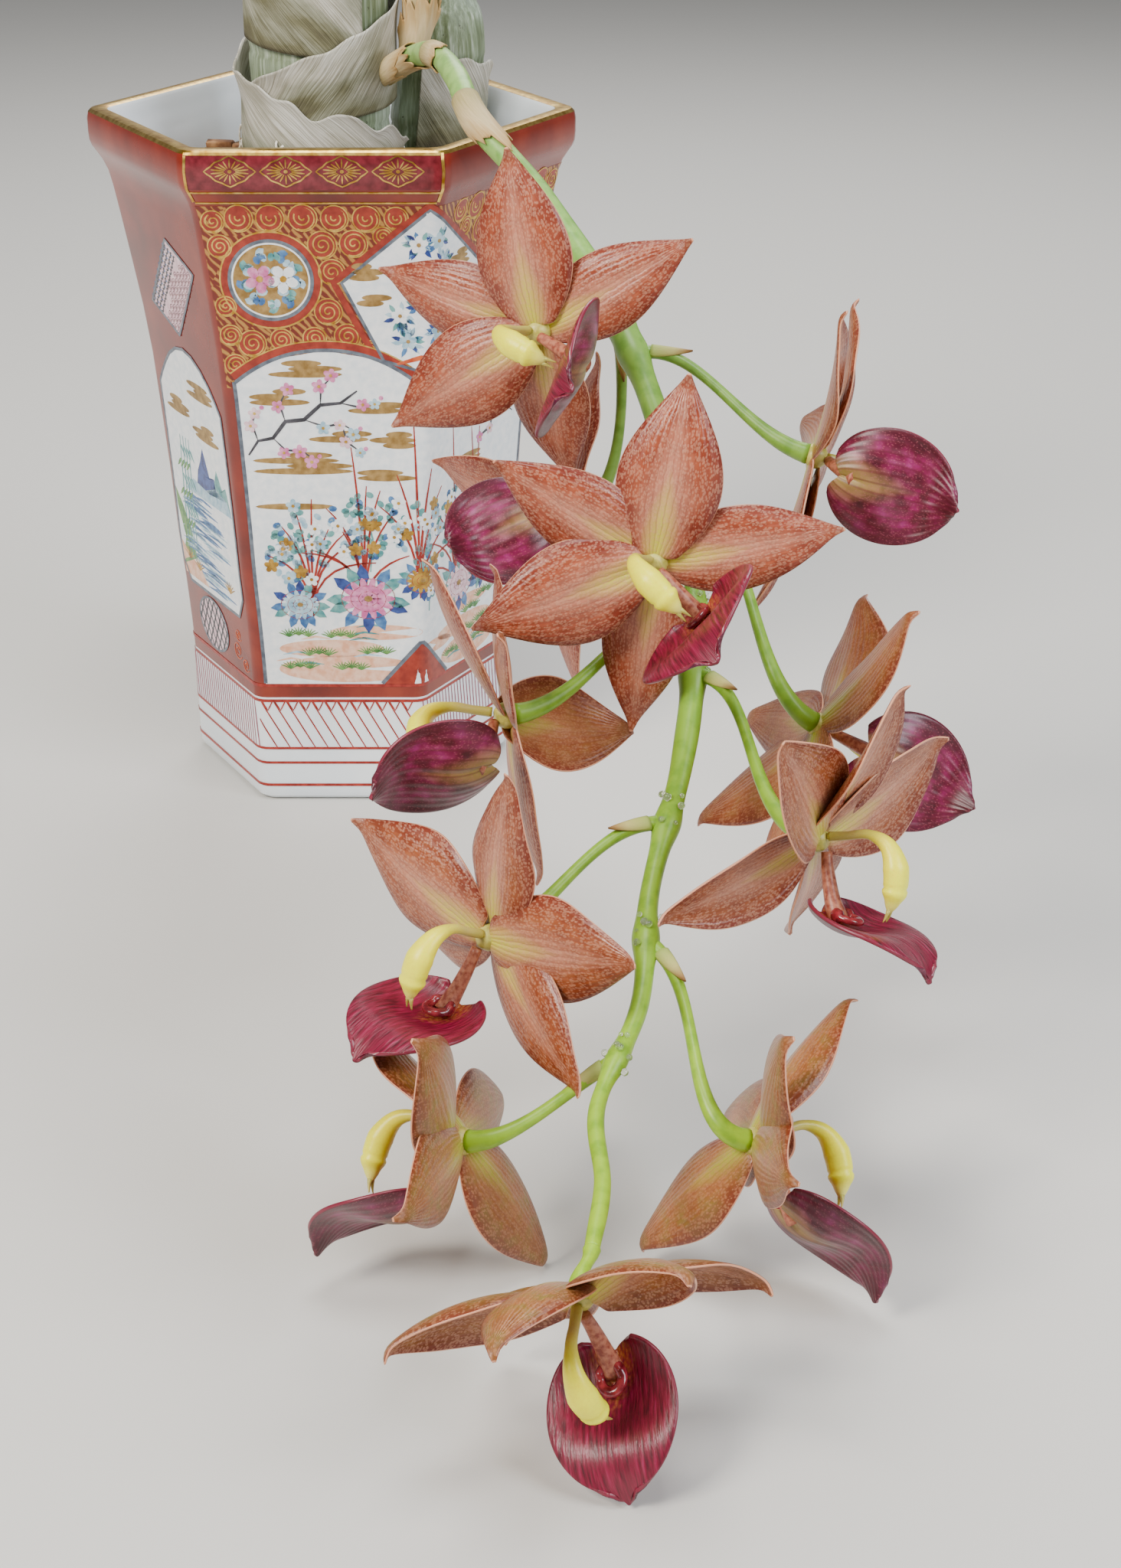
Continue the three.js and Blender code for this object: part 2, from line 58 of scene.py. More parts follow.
class Skin:
    """A new material. Values go on the shader's own sockets; each method adds a node for its output."""

    def __init__(self, name, **values):
        self.material = bpy.data.materials.new(name)
        self.material.use_nodes = True
        self.tree = self.material.node_tree
        self.shader = self.tree.nodes["Principled BSDF"]
        for socket, value in values.items():
            self.shader.inputs[socket.replace("_", " ")].default_value = value

    def add(self, kind, inputs, output=0, **settings):
        """One node; each input is a value, a hex colour or another node's output."""
        node = self.tree.nodes.new("ShaderNode" + kind)
        for name, value in settings.items():
            setattr(node, name, value)
        for socket, value in inputs.items():
            if isinstance(value, bpy.types.NodeSocket):
                self.tree.links.new(value, node.inputs[socket])
            else:
                node.inputs[socket].default_value = tint(value) if isinstance(value, str) else value
        return node.outputs[output]

    def place(self):
        return self.add("TexCoord", {}, "Object")

    def flat(self, layer="UVMap"):
        return self.add("UVMap", {}, "UV", uv_map=layer)

    def split(self, place):
        """The node's X, Y and Z outputs."""
        return self.add("SeparateXYZ", {"Vector": place}).node.outputs

    def stretch(self, place, *scale):
        return self.add("Mapping", {"Vector": place, "Scale": scale})

    def noise(self, place, scale, detail, **more):
        return self.add("TexNoise", {"Vector": place, "Scale": scale, "Detail": detail, **more}, "Fac")

    def cells(self, place, scale, output="Distance"):
        return self.add("TexVoronoi", {"Vector": place, "Scale": scale}, output)

    def math(self, operation, *values):
        return self.add("Math", dict(enumerate(values)), operation=operation)

    def span(self, value, low, high, start, end):
        """The value moved from the range low to high to the range start to end, and kept in it."""
        return self.add("MapRange", {"Value": value, "From Min": low, "From Max": high, "To Min": start,
                                     "To Max": end})

    def mix(self, share, first, second, blend="MIX"):
        return self.add("Mix", {0: share, 6: first, 7: second}, 2, data_type="RGBA", blend_type=blend)

    def ramp(self, share, *stops):
        """A colour ramp's colour; its stops are (place, hex colour)."""
        colour = self.add("ValToRGB", {"Fac": share})
        marks = colour.node.color_ramp.elements
        marks.remove(marks[-1])
        marks[0].position, marks[0].color = stops[0][0], tint(stops[0][1])
        for place, code in stops[1:]:
            marks.new(place).color = tint(code)
        return colour

    def finish(self, colour, relief=None, strength=0, depth=0, metallic=None):
        """Links colour, a bump of the relief and the metal share to the shader."""
        links = {"Base Color": colour, "Metallic": metallic}
        if relief is not None:
            links["Normal"] = self.add("Bump", {"Height": relief, "Strength": strength, "Distance": depth})
        for socket, source in links.items():
            if source is not None:
                self.tree.links.new(source, self.shader.inputs[socket])
        return self.material


def grained(name, scale, detail, stops, strength=0, depth=0, **values):
    """A material with one mottle all over, and a bump of it where it has a strength."""
    skin = Skin(name, **values)
    grain = skin.noise(skin.place(), scale, detail)
    return skin.finish(skin.ramp(grain, *stops), grain if strength else None, strength, depth)


# Mesh tools


def alone(piece=None):
    """Selects the piece and nothing else."""
    bpy.ops.object.select_all(action="DESELECT")
    if piece:
        bpy.context.view_layer.objects.active = piece
        piece.select_set(True)


def edit(piece, mode="FACE"):
    alone(piece)
    bpy.ops.object.mode_set(mode="EDIT")
    bpy.ops.mesh.select_mode(type=mode)
    bpy.ops.mesh.select_all(action="SELECT" if mode == "FACE" else "DESELECT")


def object_mode():
    bpy.ops.object.mode_set(mode="OBJECT")


def face_outward(piece):
    edit(piece)
    bpy.ops.mesh.normals_make_consistent(inside=False)
    object_mode()


def face_towards(piece, way):
    """Flips the faces of a thin sheet if most of them look away from a direction."""
    if sum(polygon.normal.dot(way) for polygon in piece.data.polygons) < 0:
        edit(piece)
        bpy.ops.mesh.flip_normals()
        object_mode()


def settle(piece, angle=None):
    """Leaves the piece at the origin, unturned and unscaled, and shades it smooth."""
    alone(piece)
    bpy.ops.object.transform_apply(location=True, rotation=True, scale=True)
    if angle:
        bpy.ops.object.shade_smooth_by_angle(angle=math.radians(angle))
    else:
        bpy.ops.object.shade_smooth()


def modify(piece, kind, **settings):
    """Adds a modifier and applies it."""
    alone(piece)
    modifier = piece.modifiers.new(kind.lower(), kind)
    for name, value in settings.items():
        setattr(modifier, name, value)
    bpy.ops.object.modifier_apply(modifier=modifier.name)


def sheet(columns, rows):
    """A flat square grid, 1 m wide, to be bent into a thin sheet."""
    alone()
    bpy.ops.mesh.primitive_grid_add(x_subdivisions=columns, y_subdivisions=rows, size=1)
    return bpy.context.object


def dress(piece, *skins):
    piece.data.materials.clear()
    for skin in skins:
        piece.data.materials.append(skin)
    return piece


def join(name, pieces):
    """Joins the pieces into the first one under a new name."""
    alone()
    for piece in pieces:
        piece.select_set(True)
    bpy.context.view_layer.objects.active = pieces[0]
    bpy.ops.object.join()
    pieces[0].name = name
    return pieces[0]


def enter(piece, node=None):
    """Enters a finished piece in the frame, on the root body, in place of a CAD node if it has one."""
    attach(piece, "root")
    if node:
        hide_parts(node)


def raise_rings(levels):
    """Extrudes the selected face up through levels of (radius, height), from the first to the last."""
    base = levels[0][1]
    for (radius, height), (next_radius, next_height) in zip(levels, levels[1:]):
        bpy.ops.mesh.extrude_region_move(
            TRANSFORM_OT_translate={"value": (0, 0, (next_height - height) * MM)})
        scale = next_radius / radius
        bpy.ops.transform.resize(value=(scale, scale, 1),
                                 center_override=(0, 0, (next_height - base) * MM))


def read_off(levels, height):
    """The radius that a list of (radius, height) gives at a height."""
    if height <= levels[0][1]:
        return levels[0][0]
    for (low_radius, low), (high_radius, high) in zip(levels, levels[1:]):
        if height <= high:
            return low_radius + (high_radius - low_radius) * (height - low) / (high - low)
    return levels[-1][0]


def listed(values, share):
    """A value read from a short list spread evenly over 0 to 1."""
    place = min(max(share, 0), 1) * (len(values) - 1)
    i = min(int(place), len(values) - 2)
    return values[i] + (values[i + 1] - values[i]) * (place - i)


def through(points, share):
    """A point on the smooth (centripetal) curve through the points, at a share of its parameter."""
    last = len(points) - 1
    place = min(share, 1) * last
    i = min(int(place), last - 1)
    part = place - i
    before = points[i - 1] if i > 0 else points[0] * 2 - points[1]
    after = points[i + 2] if i + 2 <= last else points[last] * 2 - points[last - 1]
    start, end = points[i], points[i + 1]
    gaps = [(b - a).length_squared ** 0.25 for a, b in ((before, start), (start, end), (end, after))]
    go = (start - before) / gaps[0] - (end - before) / (gaps[0] + gaps[1]) + (end - start) / gaps[1]
    stop = (end - start) / gaps[1] - (after - start) / (gaps[1] + gaps[2]) + (after - end) / gaps[2]
    go, stop = go * gaps[1], stop * gaps[1]
    return (start + go * part + (start * -3 + end * 3 - go * 2 - stop) * part ** 2
            + (start * 2 - end * 2 + go + stop) * part ** 3)


def even_run(points, count, dense=400):
    """count + 1 points at even distances along the smooth curve through the points."""
    fine = [through(points, i / dense) for i in range(dense + 1)]
    lengths = [0]
    for a, b in zip(fine, fine[1:]):
        lengths.append(lengths[-1] + (b - a).length)
    run, k = [], 0
    for i in range(count + 1):
        goal = lengths[-1] * i / count
        while k < dense - 1 and lengths[k + 1] < goal:
            k += 1
        part = (goal - lengths[k]) / max(lengths[k + 1] - lengths[k], 1e-9)
        run.append(fine[k].lerp(fine[k + 1], part))
    return run


def tube(name, run, radius_at, sides, squash=1, first_side=None):
    """A closed round tube along a run of points, in millimetres, with UVs of length and turn in mm."""
    shape = bmesh.new()
    uv = shape.loops.layers.uv.new("UVMap")
    rings, travelled = [], [0]
    side = first_side or Vector((0.3, 0.5, 0.8))
    total = sum((b - a).length for a, b in zip(run, run[1:]))
    for i, point in enumerate(run):
        way = (run[min(i + 1, len(run) - 1)] - run[max(i - 1, 0)]).normalized()
        side = (side - way * side.dot(way)).normalized()
        other = way.cross(side)
        if i:
            travelled.append(travelled[-1] + (point - run[i - 1]).length)
        radius = radius_at(travelled[-1] / total)
        rings.append([shape.verts.new((point + side * radius * math.cos(2 * math.pi * k / sides)
                                       + other * radius * squash * math.sin(2 * math.pi * k / sides)) * MM)
                      for k in range(sides)])
    mean = radius_at(0.5)
    for i, (ring, next_ring) in enumerate(zip(rings, rings[1:])):
        for k in range(sides):
            j = (k + 1) % sides
            face = shape.faces.new((ring[k], ring[j], next_ring[j], next_ring[k]))
            for loop, turn, end in zip(face.loops, (k, k + 1, k + 1, k), (i, i, i + 1, i + 1)):
                loop[uv].uv = (travelled[end], 2 * math.pi * mean * turn / sides)
    for ring, point, flip in ((rings[0], run[0], True), (rings[-1], run[-1], False)):
        pole = shape.verts.new(point * MM)
        for k in range(sides):
            j = (k + 1) % sides
            face = shape.faces.new((pole, ring[j], ring[k]) if flip else (pole, ring[k], ring[j]))
            for loop in face.loops:
                loop[uv].uv = (0 if flip else travelled[-1], 0)
    mesh = bpy.data.meshes.new(name)
    shape.to_mesh(mesh)
    shape.free()
    piece = bpy.data.objects.new(name, mesh)
    bpy.context.collection.objects.link(piece)
    settle(piece)
    return piece


# The stand: a plain pale floor, soft studio lamps and the camera at the photograph's viewing angle.
# The camera stands to the right of the pot's middle and looks down over the rim, along the spray.

alone()
bpy.ops.object.camera_add(location=(0.069, -0.80, 0.36), rotation=(math.radians(64.88), 0, 0))
camera = bpy.context.object
camera.data.lens = 60.13
bpy.context.scene.camera = camera

# Matt seamless paper: no gloss, a very faint mottle so that shadows read softly
bpy.ops.mesh.primitive_plane_add(size=9)
floor = bpy.context.object
floor.name = "floor"
paper = Skin("matt_backdrop_paper", Roughness=0.95)
mottle = paper.add("TexNoise", {"Scale": 2.5, "Detail": 3}, "Fac")
dress(floor, paper.finish(paper.ramp(mottle, (0.3, "#cfcdc8"), (0.7, "#d6d4cf"))))

# Each lamp's place, size, power and colour, all aimed at the middle of the plant
AIM = Vector((0.05, -0.15, 0.1))
for place, size, power, colour in (
    ((-0.75, -0.95, 1.05), 0.5, 25, "#fff8ee"),
    ((0.95, -0.75, 0.80), 0.6, 13, "#f4f8ff"),
    ((0.15, 0.85, 1.00), 0.7, 10, "#ffffff"),
    ((0.05, -0.35, 1.35), 0.5, 9, "#ffffff"),
):
    bpy.ops.object.light_add(type="AREA", location=place)
    lamp = bpy.context.object
    lamp.data.size = size
    lamp.data.energy = power
    lamp.data.color = tint(colour)[:3]
    lamp.rotation_euler = (AIM - Vector(place)).to_track_quat("-Z", "Y").to_euler()
world = bpy.data.worlds.new("studio")
bpy.context.scene.world = world
world.use_nodes = True
world.node_tree.nodes["Background"].inputs["Color"].default_value = tint("#dfe2e6")
world.node_tree.nodes["Background"].inputs["Strength"].default_value = 0.3

# Pot: tall six-sided porcelain, slip-cast, clear-glazed, with a flared rim band and drainage holes.
# Iron-red overglaze covers rim and body and leaves the foot white; it was fired on and then gilded.

# Distance from the axis to a corner, which is also the width of one face, at each height
POT_OUTSIDE = [
    (46, 0), (49.8, 0.5), (51.2, 1.6), (51.9, 3.4), (52, 8), (52, 24), (52, 36), (52.5, 46), (53.5, 60),
    (55, 76), (56.2, 95), (57.7, 114), (59.5, 135), (61.5, 150), (63.9, 164), (66.4, 178), (68.1, 187),
    (69.2, 191.5), (70.7, 194.7), (72.4, 197.2), (73.7, 199), (74.3, 200.6), (74.5, 203), (74.5, 207),
    (74.1, 208.9), (73.2, 209.8), (72, 210),
]
POT_INSIDE = [
    (69.4, 210), (68.2, 209.6), (67.5, 208.6), (67.2, 206), (65.6, 203), (64.2, 195), (61, 180),
    (53, 135), (48.5, 76), (45.5, 36), (44.5, 9),
]
POT_ROUND = 5
ARRIS = POT_ROUND * math.tan(math.pi / 6)
GLAZE_FOOT = 40
GILT_FROM = 209.3
DRAIN_HOLES = 4

alone()
bpy.ops.mesh.primitive_circle_add(vertices=6, radius=POT_OUTSIDE[0][0] * MM, fill_type="NGON",
                                  rotation=(0, 0, math.radians(30)))
pot = bpy.context.object
pot.name = "porcelain_pot"
bpy.ops.object.transform_apply(location=False, rotation=True, scale=False)
edit(pot)
raise_rings(POT_OUTSIDE + POT_INSIDE)
object_mode()
# The six upright corners are rounded
edit(pot, "EDGE")
shape = bmesh.from_edit_mesh(pot.data)
for edge in shape.edges:
    turns = [math.atan2(v.co.y, v.co.x) for v in edge.verts]
    if abs(turns[0] - turns[1]) < 0.01:
        edge.select_set(True)
bmesh.update_edit_mesh(pot.data)
bpy.ops.mesh.bevel(offset=ARRIS * MM, segments=6, affect="EDGES")
object_mode()
face_outward(pot)
for hole in range(DRAIN_HOLES):
    turn = math.radians(45 + 90 * hole)
    alone()
    bpy.ops.mesh.primitive_cylinder_add(vertices=32, radius=6 * MM, depth=0.03,
                                        location=(0.026 * math.cos(turn), 0.026 * math.sin(turn), 0))
    drill = bpy.context.object
    modify(pot, "BOOLEAN", operation="DIFFERENCE", object=drill, solver="EXACT")
    bpy.data.objects.remove(drill)
settle(pot, 28)

# Glazes: white porcelain shows at the foot and inside; iron red covers the rest of the outside
porcelain = grained("clear_glazed_porcelain", 30, 3, [(0.3, "#e6f0f8"), (0.7, "#f6fbff")],
                    Roughness=0.12, Specular_IOR_Level=0.5, Coat_Weight=0.4, Coat_Roughness=0.05)
iron_red = grained("iron_red_overglaze", 55, 5, [(0.3, "#651a0e"), (0.5, "#7e2413"), (0.7, "#92331c")],
                   0.05, 0.0004, Roughness=0.2, Specular_IOR_Level=0.5, Coat_Weight=0.25,
                   Coat_Roughness=0.12)
enter(pot, "pot")

# Potting mix: bark chips over a compacted plug, filled to a little below the rim
MIX_TOP = 191
CHIPS = 130
mix_skin = grained("damp_bark_compost", 350, 5, [(0.3, "#2e2118"), (0.5, "#59402b"), (0.7, "#8a6a49")],
                   0.8, 0.001, Roughness=0.95, Specular_IOR_Level=0.2)
dress(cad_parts["potting_mix"], mix_skin)
chip_chance = random.Random(3)
chips = []
while len(chips) < CHIPS:
    x, y = chip_chance.uniform(-52, 52), chip_chance.uniform(-50, 50)
    past_wall = abs(y) + 0.58 * abs(x) > 52
    if past_wall or math.hypot(x + 3, y) < 21 or math.hypot(x - 28, y - 27) < 15:
        continue
    bpy.ops.mesh.primitive_cube_add(size=MM)
    chip = bpy.context.object
    sizes = [chip_chance.uniform(*span) for span in ((5, 11), (3, 7), (1.4, 3))]
    turn = Matrix.Rotation(chip_chance.uniform(0, math.pi), 3, "Z") @ Matrix.Rotation(
        chip_chance.uniform(-0.35, 0.35), 3, "X")
    place = Vector((x, y, MIX_TOP + chip_chance.uniform(0.4, 2.6)))
    for vertex in chip.data.vertices:
        rough = [k * chip_chance.uniform(0.7, 1.1) for k in sizes]
        vertex.co = turn @ Vector([a * b for a, b in zip(vertex.co, rough)]) + place * MM
    modify(chip, "BEVEL", width=0.4 * MM, segments=2)
    chips.append(chip)
bark = join("bark_chips", chips)
settle(bark)
dress(bark, grained("damp_bark_chip", 240, 5, [(0.32, "#3b2416"), (0.5, "#6f4a2e"), (0.68, "#a57c54")],
                    0.6, 0.0008, Roughness=0.85, Specular_IOR_Level=0.3))
enter(bark)

# Painting: overglaze enamels and gold laid on the fired glaze by brush, so each stroke stands a little
# proud of it. Two faces share a twin-arched window, and the face between the pairs has smaller ones.
# Places on a wall are (across, height), in millimetres from the middle of its face and from the base.

STROKE_STEP = 1.4
WASH_STEP = (1.6, 2.2)
ENAMEL_THICK = 0.12
BLUES = ("blue", "turquoise", "pale_blue")
LEAF = ((0, 0), (0.3, -0.42), (0.62, -0.4), (1, 0), (0.62, 0.4), (0.3, 0.42))
painted = {}
hand = random.Random(7)


def face_half(height):
    """Half the width of a face at a height, measured along the wall to the middle of its corner."""
    return read_off(POT_OUTSIDE, height) / 2 - ARRIS + POT_ROUND * math.pi / 6


def wall(face, across, height, lift):
    """A point on the pot's wall, across millimetres from the middle of a face, going round corners."""
    half = face_half(height)
    while across > half:
        across, face = across - 2 * half, face + 1
    while across < -half:
        across, face = across + 2 * half, face - 1
    straight = half - POT_ROUND * math.pi / 6
    out, side, bend = read_off(POT_OUTSIDE, height) * math.cos(math.pi / 6), across, 0
    if abs(across) > straight:
        bend = (abs(across) - straight) / POT_ROUND
        side = math.copysign(straight + POT_ROUND * math.sin(bend), across)
        out -= POT_ROUND * (1 - math.cos(bend))
    out += lift * math.cos(bend)
    side += math.copysign(lift * math.sin(bend), across)
    turn = math.radians(60 * face - 90)
    return Vector((out * math.cos(turn) - side * math.sin(turn),
                   out * math.sin(turn) + side * math.cos(turn), height)) * MM


def lay(enamel, points, faces):
    """Adds points and faces to the shapes of one enamel."""
    kept_points, kept_faces = painted.setdefault(enamel, ([], []))
    start = len(kept_points)
    kept_points.extend(points)
    kept_faces.extend([[start + i for i in face] for face in faces])


def stroke(enamel, face, points, width, lift, taper=0, closed=False):
    """A brush line through points, as wide as given, thinner at its ends by taper."""
    line = [Vector(p) for p in points]
    if closed:
        line.append(line[0])
    fine = [line[0]]
    for a, b in zip(line, line[1:]):
        steps = max(1, math.ceil((b - a).length / STROKE_STEP))
        fine.extend(a.lerp(b, i / steps) for i in range(1, steps + 1))
    laid, faces = [], []
    last = len(fine) - 1
    for i, point in enumerate(fine):
        before, after = fine[max(i - 1, 0)], fine[min(i + 1, last)]
        if closed and i in (0, last):
            before, after = fine[last - 1], fine[1]
        way = (after - before).normalized()
        off = Vector((-way.y, way.x)) * width / 2 * (1 - taper * (2 * i / last - 1) ** 2)
        laid += [wall(face, *(point - off), lift), wall(face, *(point + off), lift)]
        if i:
            faces.append((2 * i - 2, 2 * i, 2 * i + 1, 2 * i - 1))
    lay(enamel, laid, faces)


def ring(enamel, face, points, width, lift):
    stroke(enamel, face, points, width, lift, closed=True)


def patch(enamel, face, outline, lift):
    """A filled shape, fanned out from its middle; the outline runs against the clock."""
    count = len(outline)
    middle = (sum(p[0] for p in outline) / count, sum(p[1] for p in outline) / count)
    lay(enamel, [wall(face, *p, lift) for p in (*outline, middle)],
        [(i, (i + 1) % count, count) for i in range(count)])


def wash(enamel, face, low, high, left, right, lift):
    """A broad area between two heights, with its left and right edges given for each height."""
    rows = max(2, math.ceil((high - low) / WASH_STEP[1]))
    middle = (low + high) / 2
    columns = max(2, math.ceil((right(middle) - left(middle)) / WASH_STEP[0]))
    laid = []
    for i in range(rows + 1):
        height = low + (high - low) * i / rows
        start, end = left(height), right(height)
        laid += [wall(face, start + (end - start) * j / columns, height, lift) for j in range(columns + 1)]
    corners = [i * (columns + 1) + j for i in range(rows) for j in range(columns)]
    lay(enamel, laid, [(a, a + 1, a + columns + 2, a + columns + 1) for a in corners])


def even_wash(enamel, face, low, high, middle, half, lift):
    """A wash as far to the left of its middle as to the right: half gives that for each height."""
    wash(enamel, face, low, high, lambda h: middle - half(h), lambda h: middle + half(h), lift)


def at(x, z, reach, degrees, tall=None):
    """A point at a reach and direction from (x, z), on an oval if it has another reach upwards."""
    a = math.radians(degrees)
    return x + reach * math.cos(a), z + (reach if tall is None else tall) * math.sin(a)


def turned(x, z, outline, degrees):
    """An outline turned about its own (0, 0) and moved to (x, z)."""
    c, s = math.cos(math.radians(degrees)), math.sin(math.radians(degrees))
    return [(x + u * c - v * s, z + u * s + v * c) for u, v in outline]


def oval(x, z, wide, tall, turn=0, count=14):
    return turned(x, z, [at(0, 0, wide, 360 * i / count, tall) for i in range(count)], turn)


def disc(x, z, size, count):
    return oval(x, z, size, size, 0, count)


def leaf(x, z, length, width, turn):
    """A pointed leaf outline from its foot."""
    return turned(x, z, [(u * length, v * width) for u, v in LEAF], turn)


def coil(x, z, size, shares, count, start, pace):
    """A spiral that opens from one share of its size to another, pace radians a point."""
    low, high = shares
    return [at(x, z, size * (low + (high - low) * i / (count - 1)), math.degrees(start + pace * i))
            for i in range(count)]


def blossom(face, x, z, size, petals, heart, lift, turn=90):
    """A flower of five round petals with a heart."""
    for i in range(5):
        a = turn + 72 * i
        patch(petals, face, oval(*at(x, z, size * 0.58, a), size * 0.44, size * 0.36, a, 8), lift)
    patch(heart, face, disc(x, z, size * 0.24, 7), lift + 0.05)


def cloud(face, banks, lift):
    """Cloud banks of stacked gold bars: each bar is (shift, half length), from the lowest up."""
    for x, z, bars in banks:
        for i, (shift, half) in enumerate(bars):
            patch("gold_wash", face, oval(x + shift, z + 1.7 * i, half, 1.05, 0, 16), lift + 0.01 * (i % 2))


def tuft(enamel, face, x, z, size, lift, spread):
    """A tuft of seven short grass blades."""
    for i in range(7):
        a = 90 + spread * (i / 6 - 0.5)
        stroke(enamel, face, [(x, z), at(x, z, size * 0.6, a), at(x, z, size * 1.1, a, size * 0.9)],
               0.42, lift, 0.7)


# Foot: iron-red lines right round, and a band of slanted hatching between two of them
HATCH_TOP, HATCH_FOOT = 34.4, 19
for face in range(6):
    for height, width in ((40.2, 1.0), (34.9, 0.9), (18.6, 0.8), (13.6, 0.8), (5.8, 0.9)):
        even_wash("red_line", face, height - width / 2, height + width / 2, 0, face_half, 0.16)
    half = face_half(27)
    broad = face % 3 == 0
    enamel, pace, slant = ("red_line", 4, 4.2) if broad else ("red_wash", 1.75, 0.8)
    place = -half + 1
    while place < half - 0.6:
        left, right = max(place - slant, -half), min(place + slant, half)
        rate = (HATCH_TOP - HATCH_FOOT) / (2 * slant)
        stroke(enamel, face, [(left, HATCH_TOP - rate * (left - place + slant)),
                              (right, HATCH_FOOT + rate * (place + slant - right))], 0.42, 0.14, 0.3)
        if broad and place - slant > -half:
            notch = [(left + 0.4, HATCH_TOP), (left + 2, 31.6), (left + 3.4, HATCH_TOP)]
            stroke("red_line", face, notch, 0.38, 0.15)
        place += pace

# The twin-arched window's arches: their top, where they spring from and half their width
ARCH_TOP, ARCH_SPRING, ARCH_HALF, ARCH_POWER = 149.5, 139.5, 26.5, 2.2
ARCH_RISE = ARCH_TOP - ARCH_SPRING


def arch_reach(height):
    return ARCH_HALF * max(0, (ARCH_TOP - height) / ARCH_RISE) ** (1 / ARCH_POWER)


def arch_line(grow):
    return [((ARCH_HALF + grow * 0.4) * i / 12, ARCH_TOP + grow - ARCH_RISE * abs(i / 12) ** ARCH_POWER)
            for i in range(-12, 13)]


def rim_lozenge(middle, degrees, share):
    """A point of a rim lozenge, at a share of the way from its middle to its edge."""
    a = math.radians(degrees)
    reach = share / (abs(math.cos(a)) ** 1.25 + abs(math.sin(a)) ** 1.25) ** 0.8
    return middle + 7 * reach * math.cos(a), 204.2 + 4.2 * reach * math.sin(a)


